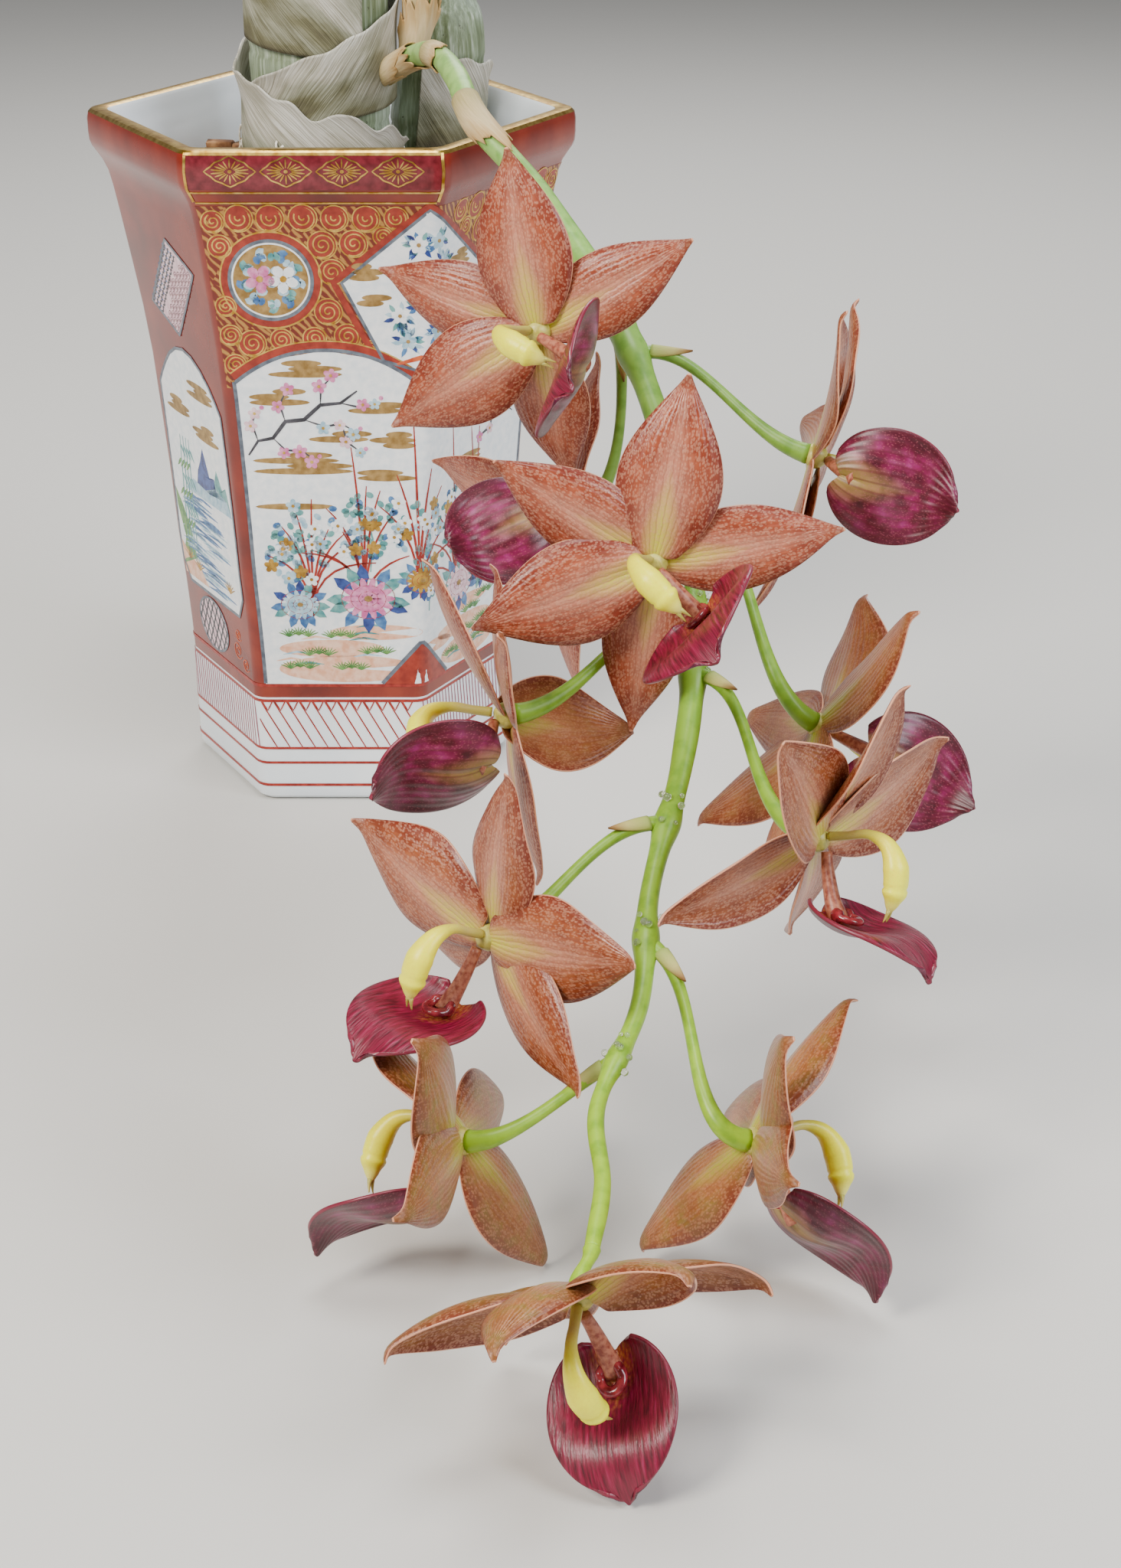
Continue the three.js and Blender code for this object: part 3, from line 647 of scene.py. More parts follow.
for first in (0, 3):
    # Rim: a plum field framed in gold, with four radiating lozenges
    even_wash("plum_field", first, 198.9, 208.6, 0, lambda h: face_half(h) - 0.5, 0.1)
    for side in (-1, 1):
        stroke("gold_line", first, [(side * (face_half(h) - 0.6), h) for h in (194.9, 199, 204, 209.3)],
               0.8, 0.2)
    for height, width in ((194.6, 0.5), (197.9, 0.45), (209, 0.7)):
        end = face_half(height) - 1
        stroke("gold_line", first, [(-end, height), (end, height)], width, 0.2)
    for middle in (-23.5, -7.8, 7.9, 23.6):
        edge = [rim_lozenge(middle, 11.25 * i, 1 + 0.035 * math.cos(math.pi * i / 2)) for i in range(32)]
        ring("gold_line", first, edge, 0.42, 0.2)
        for a in range(10, 360, 20):
            ray = [rim_lozenge(middle, a, share) for share in (0.25, 0.55, 0.82)]
            stroke("gold_line", first, ray, 0.45, 0.2, 0.5)
        patch("gold_line", first, oval(middle, 204.2, 0.6, 0.5, 0, 8), 0.2)
    for mirror, face in ((1, first), (-1, first + 1)):
        # Upper field: gold hatching with red scroll discs, mirrored on the second face
        wash("gold_hatch", face, 138, 193.6, lambda h: (0.4 if mirror > 0 else 0) - face_half(h),
             lambda h: face_half(h) - (0 if mirror > 0 else 0.4), 0.06)
        for x, z, size in ((-30.8, 189, 3.2), (-22.3, 190, 3.9), (-13.4, 190, 3.9), (-4.1, 190.2, 3.9),
                           (4.9, 190, 3.8), (13.9, 189.8, 3.8), (22.4, 190, 3.3), (1, 182, 4),
                           (10, 182.4, 3.9), (-28.3, 181.6, 3.3), (3.4, 173.9, 3.7), (-30.5, 163.5, 2.9),
                           (1.8, 161.8, 3.9), (-2.6, 153.6, 3.3), (7, 154.2, 3.7), (-12.2, 153.2, 3.2),
                           (-20.8, 152, 3.9), (-28.4, 154.6, 3), (-27, 145.4, 3.1), (13.6, 150.4, 2.4),
                           (18.4, 184.6, 2.7)):
            x = mirror * max(x, size + 0.7 - face_half(z - size))
            patch("red_ground", face, disc(x, z, size, 20), 0.12)
            stroke("gold_line", face, coil(x, z, size, (0.1, 0.96), 44, -0.4, -0.33), 0.42, 0.17)
            ring("gold_line", face, disc(x, z, size * 1.04, 22), 0.38, 0.17)
        # Medallion: gold, red and grey rings round two blossoms among blue scrolled leaves
        x, z = -14.3 * mirror, 171.4
        for enamel, size, lift in (("red_ground", 14.4, 0.16), ("gold_wash", 11.8, 0.2)):
            patch(enamel, face, disc(x, z, size, 60), lift)
        for enamel, size, width, lift in (("gold_line", 14.6, 0.5, 0.2), ("grey_line", 11.9, 1, 0.24),
                                          ("white", 11.1, 0.5, 0.24)):
            ring(enamel, face, disc(x, z, size, 60), width, lift)
        for i in range(18):
            a = 20 * i + hand.uniform(-5, 5)
            patch(BLUES[i % 3], face, leaf(*at(x, z, 8.8 + 0.9 * (i % 2), a), 3.4, 2.4,
                                           a + (120 if i % 2 else 215)), 0.26)
            patch(BLUES[i % 3], face, oval(*at(x, z, 7.1, a + 5.73), 1.3, 1, a, 8), 0.26)
        for shift, enamel in ((-3.2, "pink"), (3.6, "white")):
            turn = 90 + shift * 9
            for i in range(5):
                patch("pale_blue", face, oval(*at(x + shift, z, 3.4, turn + 72 * i), 1.7, 1.4, 0, 9), 0.27)
            blossom(face, x + shift, z + 0.4, 4.4, enamel, "gold_line", 0.3, turn)

    # Window across the corner: white, with a red and a grey border, blossoms and blue leaves
    corner = face_half(170)
    left = [(corner, 142), (17.3, 146.6), (6, 170.6), (corner, 192.4)]
    ridge = left[2:] + [(2 * corner - x, z) for x, z in left[2:0:-1]] + left[:2]
    even_wash("white", first, 142, 192.2, corner, lambda h: corner - read_off(left, h), 0.2)
    ring("red_ground", first, [(corner + (x - corner) * 1.09, 168.5 + (z - 168.5) * 1.06)
                               for x, z in ridge], 1.9, 0.19)
    ring("grey_line", first, ridge, 0.9, 0.25)
    cloud(first, ((12.5, 172.2, ((0, 4.5), (1.5, 5), (-0.5, 3))), (14, 164.4, ((0, 4), (2, 4.4))),
                  (46, 174, ((0, 5), (-2, 6), (1, 3))), (49, 160, ((0, 5), (2, 4)))), 0.24)
    for x, z, size in ((28.6, 182, 2.8), (34.6, 183, 2.6), (22.5, 160.5, 2.6), (31, 172, 3.2),
                       (39.5, 166.4, 2.8), (24.6, 152.6, 2.6), (34.4, 155, 3), (43.5, 154, 2.6),
                       (29, 163, 2.4), (37, 176, 2.4), (46.5, 161.5, 2.4)):
        for _ in range(16):
            a = hand.uniform(0, 360)
            patch(hand.choice((*BLUES, "deep_blue")), first, leaf(
                *at(x, z, 1.8, a, 1.6), hand.uniform(2.4, 3.8), 1.5, a + hand.uniform(-25, 25)), 0.26)
        blossom(first, x, z, size, hand.choice(("white", "pale_blue")), "gold_wash", 0.3)
    stroke("orange", first, [(corner - 11, 145.6), (corner - 4, 147.6), (corner + 4, 147),
                             (corner + 11, 145)], 1.6, 0.26, 0.6)

    # Twin-arched window over the two faces, its edges drawn in grey inside a red band
    window = (lambda h: 2.8 - face_half(h), lambda h: 3 * face_half(h) - 2.8)
    wash("white", first, 40.8, ARCH_SPRING, *window, 0.2)
    for face in (first, first + 1):
        even_wash("white", face, ARCH_SPRING, ARCH_TOP - 0.02, 0, arch_reach, 0.2)
        stroke("red_ground", face, arch_line(2), 2.2, 0.22)
        stroke("gold_line", face, arch_line(3.3), 0.4, 0.24)
        stroke("grey_line", face, arch_line(0.4), 1.1, 0.27)
    for side in window:
        stroke("grey_line", first, [(side(h), h) for h in range(41, 141, 3)], 1.1, 0.26)
    corner = face_half(47)
    even_wash("red_ground", first, 40.8, 54.6, corner, lambda h: 12.5 * (54.6 - h) / 13.8, 0.3)
    stroke("grey_line", first, [(corner - 12.6, 41), (corner - 0.6, 54.8), (corner + 0.6, 54.8),
                                (corner + 12.6, 41)], 1.2, 0.36)

    # Ground: peach washes with green tufts and turquoise lines
    for z, x, wide, tall in ((46, 3, 24, 4.6), (53, -2, 18, 3), (58.5, 12, 16, 2.6), (46, 51, 17, 4.6),
                             (54, 49, 17, 3), (61, 50, 14, 2.4), (52, 33, 9, 2.2)):
        patch("peach_wash", first, oval(x, z, wide * 0.9, tall, 0, 34), 0.23)
    for _ in range(26):
        x, z = hand.uniform(-15, 61), hand.uniform(44, 61)
        if abs(x - corner) >= 13:
            stroke(hand.choice(("turquoise", "peach_wash", "pale_blue")), first,
                   [(x - 4.5, z), (x, z + 0.9), (x + 4.5, z + 0.2)], 0.7, 0.25, 0.8)
    for x, z in ((-12, 46), (-6, 50.5), (4, 45.6), (12, 51), (1, 56.6), (42, 45.5), (50, 50.4), (58, 46),
                 (60, 51.6), (53, 57), (-12, 57), (61, 60)):
        for k in range(3):
            tuft("leaf_green", first, x + 3 * k - 3, z + 0.5 * (k % 2), 3.2, 0.28, 120)

    # Sky: gold cloud banks
    cloud(first, (
        (-6, 142.4, ((0, 11), (3, 8), (-1, 6))), (-14, 133.6, ((0, 9), (-3, 6), (3, 5))),
        (14, 131, ((0, 8), (4, 6))), (-8, 111.8, ((0, 15), (5, 10), (-2, 13), (2, 7))),
        (17, 109.6, ((0, 9), (-2, 7))), (-11, 100.4, ((0, 12),)), (60, 143.4, ((0, 9), (-3, 6))),
        (44, 128, ((0, 9), (2, 6), (-1, 7))), (66, 121, ((0, 11), (-4, 8))), (49, 108.6, ((0, 10), (3, 7))),
        (65, 101, ((0, 9), (-3, 7))), (3, 122, ((0, 9), (4, 6))), (21, 120, ((0, 5), (-2, 7), (0, 4))),
        (36, 138, ((0, 7), (3, 8), (-2, 5))), (73, 131, ((0, 6), (-3, 7)))), 0.24)

    # Branch with pink and white blossoms, entering from the left edge
    trunk = [(-24, 117), (-21, 121.5), (-16.5, 122.4), (-12.6, 127.6), (-7, 128.2), (-2, 132.8),
             (4, 133.4), (9, 137.2)]
    stroke("black_line", first, trunk, 1.2, 0.3, 0.6)
    for twig in ((trunk[2], (-13, 118.6), (-8, 118.2), (-4.5, 115.6)), (trunk[3], (-14, 133), (-12, 137)),
                 (trunk[4], (-1, 126), (4, 127), (8, 124.4)), (trunk[5], (-1.6, 138), (1.5, 141.4)),
                 (trunk[1], (-22.6, 127), (-21, 131)), (trunk[6], (10, 132), (14.4, 134)),
                 ((4, 127), (5.6, 121), (9.4, 118))):
        stroke("black_line", first, twig, 0.6, 0.3, 0.8)
        for x, z in twig[1:]:
            x, z = x + hand.uniform(-1, 1), z + hand.uniform(-1, 1)
            enamel = hand.choice(("pink", "pale_pink", "pale_blue", "pink"))
            blossom(first, x, z, hand.uniform(1.7, 2.3), enamel, "gold_line", 0.33, hand.uniform(0, 90))
        x, z = twig[-1]
        patch("pink", first, disc(x + 1.6, z + 1, 0.7, 8), 0.32)
    # A second, lower branch of the same tree on the next face
    for twig in (((77.6, 118), (72, 122), (67, 121), (61, 125), (54, 125.4)), ((67, 121), (64, 116),
                 (58, 114.6)), ((61, 125), (59, 130.6), (54, 133)), ((72, 122), (71, 128), (67, 132.4))):
        stroke("black_line", first, twig, 0.9, 0.3, 0.7)
        for x, z in twig[1:]:
            blossom(first, x + hand.uniform(-1, 1), z + hand.uniform(-1, 1), hand.uniform(1.7, 2.3),
                    hand.choice(("pink", "pale_pink", "pale_blue")), "gold_line", 0.33)

    # Autumn grasses: long iron-red arcs that spring from five roots
    for x, z, count, lean in ((-7, 64, 8, 0.2), (9, 66, 9, -0.15), (26, 70, 7, 0.3), (44, 66, 8, -0.2),
                              (56, 66, 8, 0)):
        for i in range(count):
            bow = (i / (count - 1) - 0.5) * 2 + lean
            tall = hand.uniform(36, 62) * (1 - 0.3 * abs(bow))
            stroke("red_line", first, [(x + bow * 16.5 * k * k, z + tall * (k - 0.42 * k * k * abs(bow)))
                                       for k in (0, 0.15, 0.3, 0.45, 0.6, 0.75, 0.88, 1)], 0.7, 0.29, 0.6)

    # Asters: sprays of small round blue-green leaves with gold-hearted flowers
    for x, z, wide, tall, leaves in ((-11, 88, 10, 13, 66), (11, 94, 13, 11, 80), (29, 86, 8, 17, 60),
                                     (46, 92, 10, 12, 66), (61, 88, 11, 14, 76)):
        for _ in range(leaves):
            a, r = hand.uniform(0, 360), math.sqrt(hand.random())
            patch(hand.choice(("turquoise", "blue", "pale_blue", "turquoise")), first,
                  oval(*at(x, z, wide * r, a, tall * r), 1.3, 0.95, hand.uniform(0, 180), 8), 0.29)
        for _ in range(leaves // 6):
            a, r = hand.uniform(0, 360), math.sqrt(hand.random())
            blossom(first, *at(x, z, wide * r, a, tall * r), 2.3,
                    hand.choice(("white", "pale_blue", "ochre")), "ochre", 0.33)
        stroke("turquoise", first, [(x, z - tall - 4), (x + 1, z - 4), (x - 1, z + 4)], 0.6, 0.28, 0.5)

    # Chrysanthemums: ringed petals in pink, white and gold among deep blue leaves
    for x, z, size, enamel in ((10, 70, 8.4, "pink"), (-11, 68, 6, "pale_blue"), (27, 76, 5.2, "ochre"),
                               (46, 69, 7.6, "pale_pink"), (60, 71, 6, "pink")):
        for i in range(12):
            a = 30 * i + hand.uniform(-10, 10)
            patch(hand.choice(("blue", "deep_blue", "turquoise")), first,
                  leaf(*at(x, z, size * 0.7, a, size * 0.55), size * 0.85, size * 0.5, a), 0.31)
        for share, count in ((1, 14), (0.66, 11), (0.36, 7)):
            reach, lift = size * share, 0.03 * (1 - share)
            for i in range(count):
                a = 360 * (i + 0.5 * (share < 0.9)) / count
                patch(enamel, first, oval(*at(x, z, reach * 0.62, a, reach * 0.5), reach * 0.36,
                                          size * 0.13, a, 8), 0.34 + lift)
            ring("red_line", first, oval(x, z, reach * 0.98, reach * 0.8, 0, 26), 0.16, 0.335 + lift)
        patch("gold_wash", first, oval(x, z, size * 0.16, size * 0.13, 0, 8), 0.38)

# Side faces: a lozenge of scale and key patterns, an arched waterside window and a latticed round
SILL, SPRING = 61, 127
tip, right, foot, left = (4, 177.5), (22, 170.5), (0, 147), (-18, 154)


def in_lozenge(u, v):
    """A place in the lozenge, at shares of the way from its foot to its left and its right corner."""
    return (foot[0] + (right[0] - foot[0]) * v + (left[0] - foot[0]) * u,
            foot[1] + (right[1] - foot[1]) * v + (left[1] - foot[1]) * u)


def side_half(height):
    """Half the width of the waterside window."""
    if height > SPRING:
        return 23.5 * max(0, (142.5 - height) / 15.5) ** 0.5
    return 23.5 if height > 68 else 19 + 4.5 * (height - SILL) / 7


for face in (2, 5):
    wash("pale_pink", face, 147, 177.5, lambda h: read_off((foot, left, tip), h),
         lambda h: read_off((foot, right, tip), h), 0.16)
    for row in range(11):
        for k in range(9):
            u, v = (row + 0.5) / 11, (k + 0.5 * (row % 2) + 0.25) / 9.3
            x, z = in_lozenge(u, v)
            if u + 0.12 * math.sin(9 * v) <= 0.55 and v <= 0.96:
                for size in (1.35, 0.75):
                    scale = [at(x, z - 1, size, a, 1.25 * size) for a in range(0, 181, 30)]
                    stroke("plum_field", face, scale, 0.22, 0.2)
    for row in range(9):
        for k in range(4):
            x, z = in_lozenge(0.985 - 0.108 * k, (row + 0.6) / 9.6)
            key = [(x - 1, z - 1.2), (x + 0.4, z - 0.9), (x + 0.6, z + 0.4), (x + 1.6, z + 0.6)]
            stroke("black_line", face, key, 0.7, 0.22)
            stroke("blue", face, [(x - 0.9, z + 0.5), (x - 0.2, z + 0.6)], 0.6, 0.21)
    ring("grey_line", face, [foot, right, tip, left], 0.9, 0.24)
    for low, high in ((SILL, SPRING), (SPRING, 142.4)):
        even_wash("white", face, low, high, 0, side_half, 0.16)
    arch = [(23.5 * math.sin(math.radians(a)), SPRING + 15.5 * math.cos(math.radians(a)) ** 2)
            for a in range(-75, 76, 15)]
    jamb = [(19, SILL), (23.5, 68), (23.5, SPRING)]
    ring("grey_line", face, [(-x, z) for x, z in jamb] + arch + jamb[::-1], 1, 0.24)
    # Waterside: blue water lines, two far hills, reeds and a low bank, with cloud banks over them
    for i in range(58):
        z = 63.5 + 0.52 * i
        x = hand.uniform(-13, 9)
        stroke(hand.choice(("blue", "pale_blue", "blue")), face,
               [(x - hand.uniform(5, 9), z), (x, z + 0.5), (x + hand.uniform(6, 13), z)], 0.8, 0.2, 0.8)
    for enamel, outline in (
        ("pale_blue", [(-13, 94.4), (22.6, 94.4), (20, 99), (12, 101), (3, 98), (-6, 99.4)]),
        ("deep_blue", [(-4, 96), (13, 96), (11.4, 104), (8, 103), (4.6, 112), (1.6, 107), (-1, 103.6)]),
        ("turquoise", [(8, 95.6), (22, 95.6), (20, 103.5), (17.4, 101.6), (14, 107.6), (11, 102)]),
        ("peach_wash", [(-22.6, 63), (-4, 63), (-9, 68), (-17, 70.6), (-22.8, 74)]),
    ):
        patch(enamel, face, outline, 0.21)
    patch("leaf_green", face, [(-22.4, 66), (-11, 71), (-13, 80), (-18, 87), (-22.6, 92)], 0.22)
    for x in (-16.6, -14.2, -12, -9.8):
        stroke("turquoise", face, [(x, 70), (x + 1, 92), (x + 3.6, 112)], 0.7, 0.22, 0.6)
        for k in range(6):
            enamel, turn = ("turquoise", -50) if k % 2 else ("leaf_green", 222)
            patch(enamel, face, leaf(x + 1 + k * 0.4, 84 + 5 * k, 5.2, 1.3, turn), 0.24)
    for x, z in ((-17, 69), (-10, 67), (14, 67)):
        tuft("ochre", face, x, z, 4.4, 0.24, 110)
    cloud(face, ((8, 129, ((0, 10), (3, 7), (-1, 8))), (-11, 120.6, ((0, 9), (2, 7), (-1, 5))),
                 (10, 116, ((0, 9), (-3, 8), (1, 5)))), 0.22)
    # Round: dark lattice on pale pink
    x, z, wide, tall = -4, 50.6, 11, 8.6
    patch("pale_pink", face, oval(x, z, wide, tall, 0, 40), 0.16)
    for k in range(-3, 4):
        for slant in (-1, 1):
            bar = [(3.4 * k + slant * 0.28 * i, 0.45 * i) for i in range(-20, 21)]
            bar = [(x + u, z + v) for u, v in bar if (u / wide) ** 2 + (v / tall) ** 2 < 1]
            if len(bar) > 2:
                stroke("black_line", face, bar, 0.8, 0.2)
    ring("grey_line", face, oval(x, z, wide, tall, 0, 40), 0.7, 0.23)
    for x, z, size in ((14, 48, 3.2), (19.5, 44.6, 2.4), (15.6, 53.6, 2.2)):
        stroke("orange", face, coil(x, z, size, (0.15, 1), 21, 0, 0.6), 0.3, 0.14)

# Each enamel's darker and lighter tone, metallic and roughness: glassy and slightly uneven where a
# brush left it thick; the gold is fired metal leaf, the washes let the glaze through
LINES = {
    "gold_line": ("#b98a35", "#e6c46c", 1, 0.28), "gold_wash": ("#8c6c36", "#b4935a", 0.35, 0.4),
    "red_line": ("#84180f", "#a83226", 0, 0.25), "red_wash": ("#8e4658", "#b46a78", 0, 0.25),
    "red_ground": ("#84200f", "#a23420", 0, 0.22), "plum_field": ("#5c141c", "#7c2630", 0, 0.22),
    "grey_line": ("#4c5462", "#727c88", 0, 0.3), "peach_wash": ("#e4a684", "#f4ccb2", 0, 0.2),
    "black_line": ("#2c2c34", "#4c4c54", 0, 0.25),
}
ENAMELS = {
    "white": ("#e8f0f6", "#fafdff", 0, 0.14), "pink": ("#c65c96", "#e69cc2", 0, 0.2),
    "pale_pink": ("#dcb2c0", "#f0d4dc", 0, 0.2), "blue": ("#2c5a94", "#5c8cbc", 0, 0.16),
    "deep_blue": ("#1c2c6c", "#3a559c", 0, 0.16), "pale_blue": ("#8cb4cc", "#bcd8e4", 0, 0.16),
    "turquoise": ("#3c8488", "#78b0ac", 0, 0.16), "leaf_green": ("#3f7c3c", "#74a456", 0, 0.18),
    "orange": ("#b8401c", "#d4683a", 0, 0.2), "ochre": ("#8c6414", "#c49a3c", 0.1, 0.2),
}
enamel_skins = {}
for enamel, (dark, light, metallic, roughness) in {**LINES, **ENAMELS}.items():
    title = enamel + ("_enamel" if enamel in ENAMELS else "")
    enamel_skins[enamel] = title, grained("fired_" + title, 420, 3, [(0.35, dark), (0.65, light)],
                                          Roughness=roughness, Metallic=metallic)
# Gold hatching: short parallel brush lines about 0.9 mm apart that change direction in patches
hatch = Skin("fired_gold_hatch", Roughness=0.3)
hatch_shift = hatch.add("VectorMath", {0: hatch.cells(hatch.place(), 210, "Color"), 1: (0.01, 0.01, 0.01)},
                        operation="MULTIPLY")
hatch_bent = hatch.add("VectorMath", {0: hatch.place(), 1: hatch_shift}, operation="ADD")
hatch_lines = hatch.add("TexWave", {"Vector": hatch_bent, "Scale": 230, "Distortion": 2.5, "Detail": 1},
                        "Fac", bands_direction="DIAGONAL")
enamel_skins["gold_hatch"] = "gold_hatch", hatch.finish(
    hatch.ramp(hatch_lines, (0.35, "#6c1e0e"), (0.55, "#8c4824"), (0.8, "#b98848")),
    metallic=hatch.span(hatch_lines, 0.35, 0.6, 0, 0.5))

for enamel, (points, faces) in painted.items():
    title, skin = enamel_skins[enamel]
    mesh = bpy.data.meshes.new("painting_" + title)
    mesh.from_pydata(points, [], faces)
    layer = bpy.data.objects.new("painting_" + title, mesh)
    bpy.context.collection.objects.link(layer)
    for polygon in mesh.polygons:
        if polygon.normal.x * polygon.center.x + polygon.normal.y * polygon.center.y < 0:
            polygon.flip()
    modify(layer, "SOLIDIFY", thickness=ENAMEL_THICK * MM, offset=-1)
    settle(layer, 30)
    dress(layer, skin)
    enter(layer)
# White porcelain at the foot and inside, iron red over the rest of the outside, and a gilded rim
dress(pot, porcelain, iron_red, enamel_skins["gold_line"][1])
for face in pot.data.polygons:
    outside = face.center.x * face.normal.x + face.center.y * face.normal.y > 0
    face.material_index = 1 if outside and face.center.z > GLAZE_FOOT * MM else 0
    if face.center.z > GILT_FROM * MM:
        face.material_index = 2

# Bulbs: two upright pseudobulbs, grey-green, jointed and finely ribbed along their length.
# They grow from the mix; the photograph cuts the main one off, and here it ends in a plain dry point.

# Foot and lean in millimetres, and (radius, height) up the axis
MAIN_BULB = ((-3, 0), (0, 0), [
    (16, 178), (19.5, 186), (21, 200), (20.5, 214), (21, 228), (21, 246), (20.5, 262), (18.5, 284),
    (15, 304), (10, 322), (5, 332), (1.5, 334),
])
BACK_BULB = ((28, 27), (0.1, 0.02), [
    (12, 178), (14, 186), (14.5, 200), (14, 216), (12.5, 230), (9.5, 238), (6, 241),
])
BULB_SIDES = 96
BULB_STEP = 1.5
BULB_EASE = 4

# Bulb skin: a waxy rind over woody fibre, dull with a slight sheen; pale lines run along the ribs
rind = Skin("waxy_grey_green_rind", Roughness=0.5, Specular_IOR_Level=0.45)
fibre = rind.noise(rind.stretch(rind.place(), 1, 1, 0.045), 750, 4, Roughness=0.62)
rind_colour = rind.mix(
    0.42, rind.ramp(fibre, (0.34, "#46543c"), (0.47, "#6c7c5e"), (0.58, "#96a68e"), (0.72, "#d3dbcd")),
    rind.ramp(rind.noise(rind.place(), 42, 3), (0.36, "#5f6438"), (0.5, "#8f9c7c"), (0.68, "#bcc8b8")))
rind_specks = rind.span(rind.noise(rind.place(), 480, 2), 0.68, 0.74, 0, 0.8)
bulb_skin = rind.finish(rind.mix(rind_specks, rind_colour, "#3c3a26"), fibre, 0.35, 0.0006)


def smooth_levels(levels):
    """The same levels at an even step, each averaged with its neighbours to round the bends."""
    low, high = levels[0][1], levels[-1][1]
    count = round((high - low) / BULB_STEP)
    heights = [low + (high - low) * i / count for i in range(count + 1)]
    return [(sum(read_off(levels, h + BULB_EASE * k / 2) for k in (-2, -1, 0, 1, 2)) / 5, h)
            for h in heights]


def ribbed_bulb(node, form, joints, seed):
    """Extrudes a bulb ring by ring, then presses ribs and joint rings into it."""
    foot, lean, levels = form
    levels = smooth_levels(levels)
    alone()
    bpy.ops.mesh.primitive_circle_add(vertices=BULB_SIDES, radius=levels[0][0] * MM, fill_type="NGON")
    bulb = bpy.context.object
    bulb.name = node + "_ribbed"
    edit(bulb)
    raise_rings(levels)
    object_mode()
    face_outward(bulb)
    chance = random.Random(seed)
    ribs = [(chance.uniform(0.3, 1), chance.uniform(0, 6)) for _ in range(BULB_SIDES // 4)]
    base = levels[0][1]
    for vertex in bulb.data.vertices:
        x, y, rise = (c / MM for c in vertex.co)
        turn = math.atan2(y, x)
        reach = math.hypot(x, y)
        place = (turn / (2 * math.pi) % 1) * len(ribs)
        strength, phase = ribs[int(place) % len(ribs)]
        rib = strength * 0.35 * math.sin(math.pi * (place % 1)) - 0.2
        rib += 0.12 * math.sin(rise * 0.11 + phase)
        joint = sum(math.exp(-((base + rise - at_height) / 1.3) ** 2) for at_height in joints)
        grown = reach + (rib - 0.7 * joint) * min(1, reach / 8)
        vertex.co = Vector((foot[0] + lean[0] * rise + grown * math.cos(turn),
                            foot[1] + lean[1] * rise + grown * math.sin(turn), base + rise)) * MM
    settle(bulb)
    dress(bulb, bulb_skin)
    enter(bulb, node)


ribbed_bulb("bulb_main", MAIN_BULB, (206, 228, 252, 276, 300, 318), 11)
ribbed_bulb("bulb_back", BACK_BULB, (200, 219), 12)

# Sheaths: the dry papery bases of old leaves, wrapped round the bulbs one over another.
# They are thin grey-white fibre with long veins, torn into ragged slanting edges.

SHEATH_THICK = 0.45
SHEATH_COLUMNS, SHEATH_ROWS = 120, 28
# bulb, clearance, start turn and sweep in degrees, lower edge, upper edge, how ragged, and how far its
# veins lean, in millimetres round the bulb for each millimetre up
SHEATHS = {
    "sheath_low": (MAIN_BULB, 3.1, 150, 215, (192, 193), (228, 201), 2.2, 1.1),
    "sheath_middle": (MAIN_BULB, 1.9, 200, 235, (206, 216), (217, 256), 1.6, -0.8),
    "sheath_high": (MAIN_BULB, 0.7, 60, 250, (238, 226), (288, 250), 2.4, 0.9),
    "sheath_back": (BACK_BULB, 0.7, -110, 190, (193, 196), (224, 214), 1.6, 0.7),
}

# Sheath paper: dry veined plant fibre, dull and slightly translucent, white where it lifts off.
# Below its torn edge the sheath still clings, and the olive bulb and brown blotches show through.
paper = Skin("dry_veined_sheath", Roughness=0.82, Specular_IOR_Level=0.25)
veins = paper.noise(paper.stretch(paper.flat(), 0.06, 2.1, 1), 1, 5, Roughness=0.6)
vein_tone = paper.ramp(veins, (0.32, "#8c8878"), (0.46, "#b4b0a2"), (0.58, "#cfccc2"), (0.75, "#f2f0ea"))
lifted_share = paper.add("Attribute", {}, "Fac", attribute_name="lift")
blotch = paper.math("MULTIPLY_ADD", lifted_share, 0.45, paper.noise(paper.flat(), 0.07, 5))
blotch_tone = paper.ramp(blotch, (0.42, "#5c5534"), (0.54, "#7d7c58"), (0.68, "#b4b8a6"),
                         (0.84, "#e9e7e0"), (0.95, "#ffffff"))
sheath_skin = paper.finish(paper.mix(0.92, vein_tone, blotch_tone, "MULTIPLY"), veins, 0.5, 0.0005)

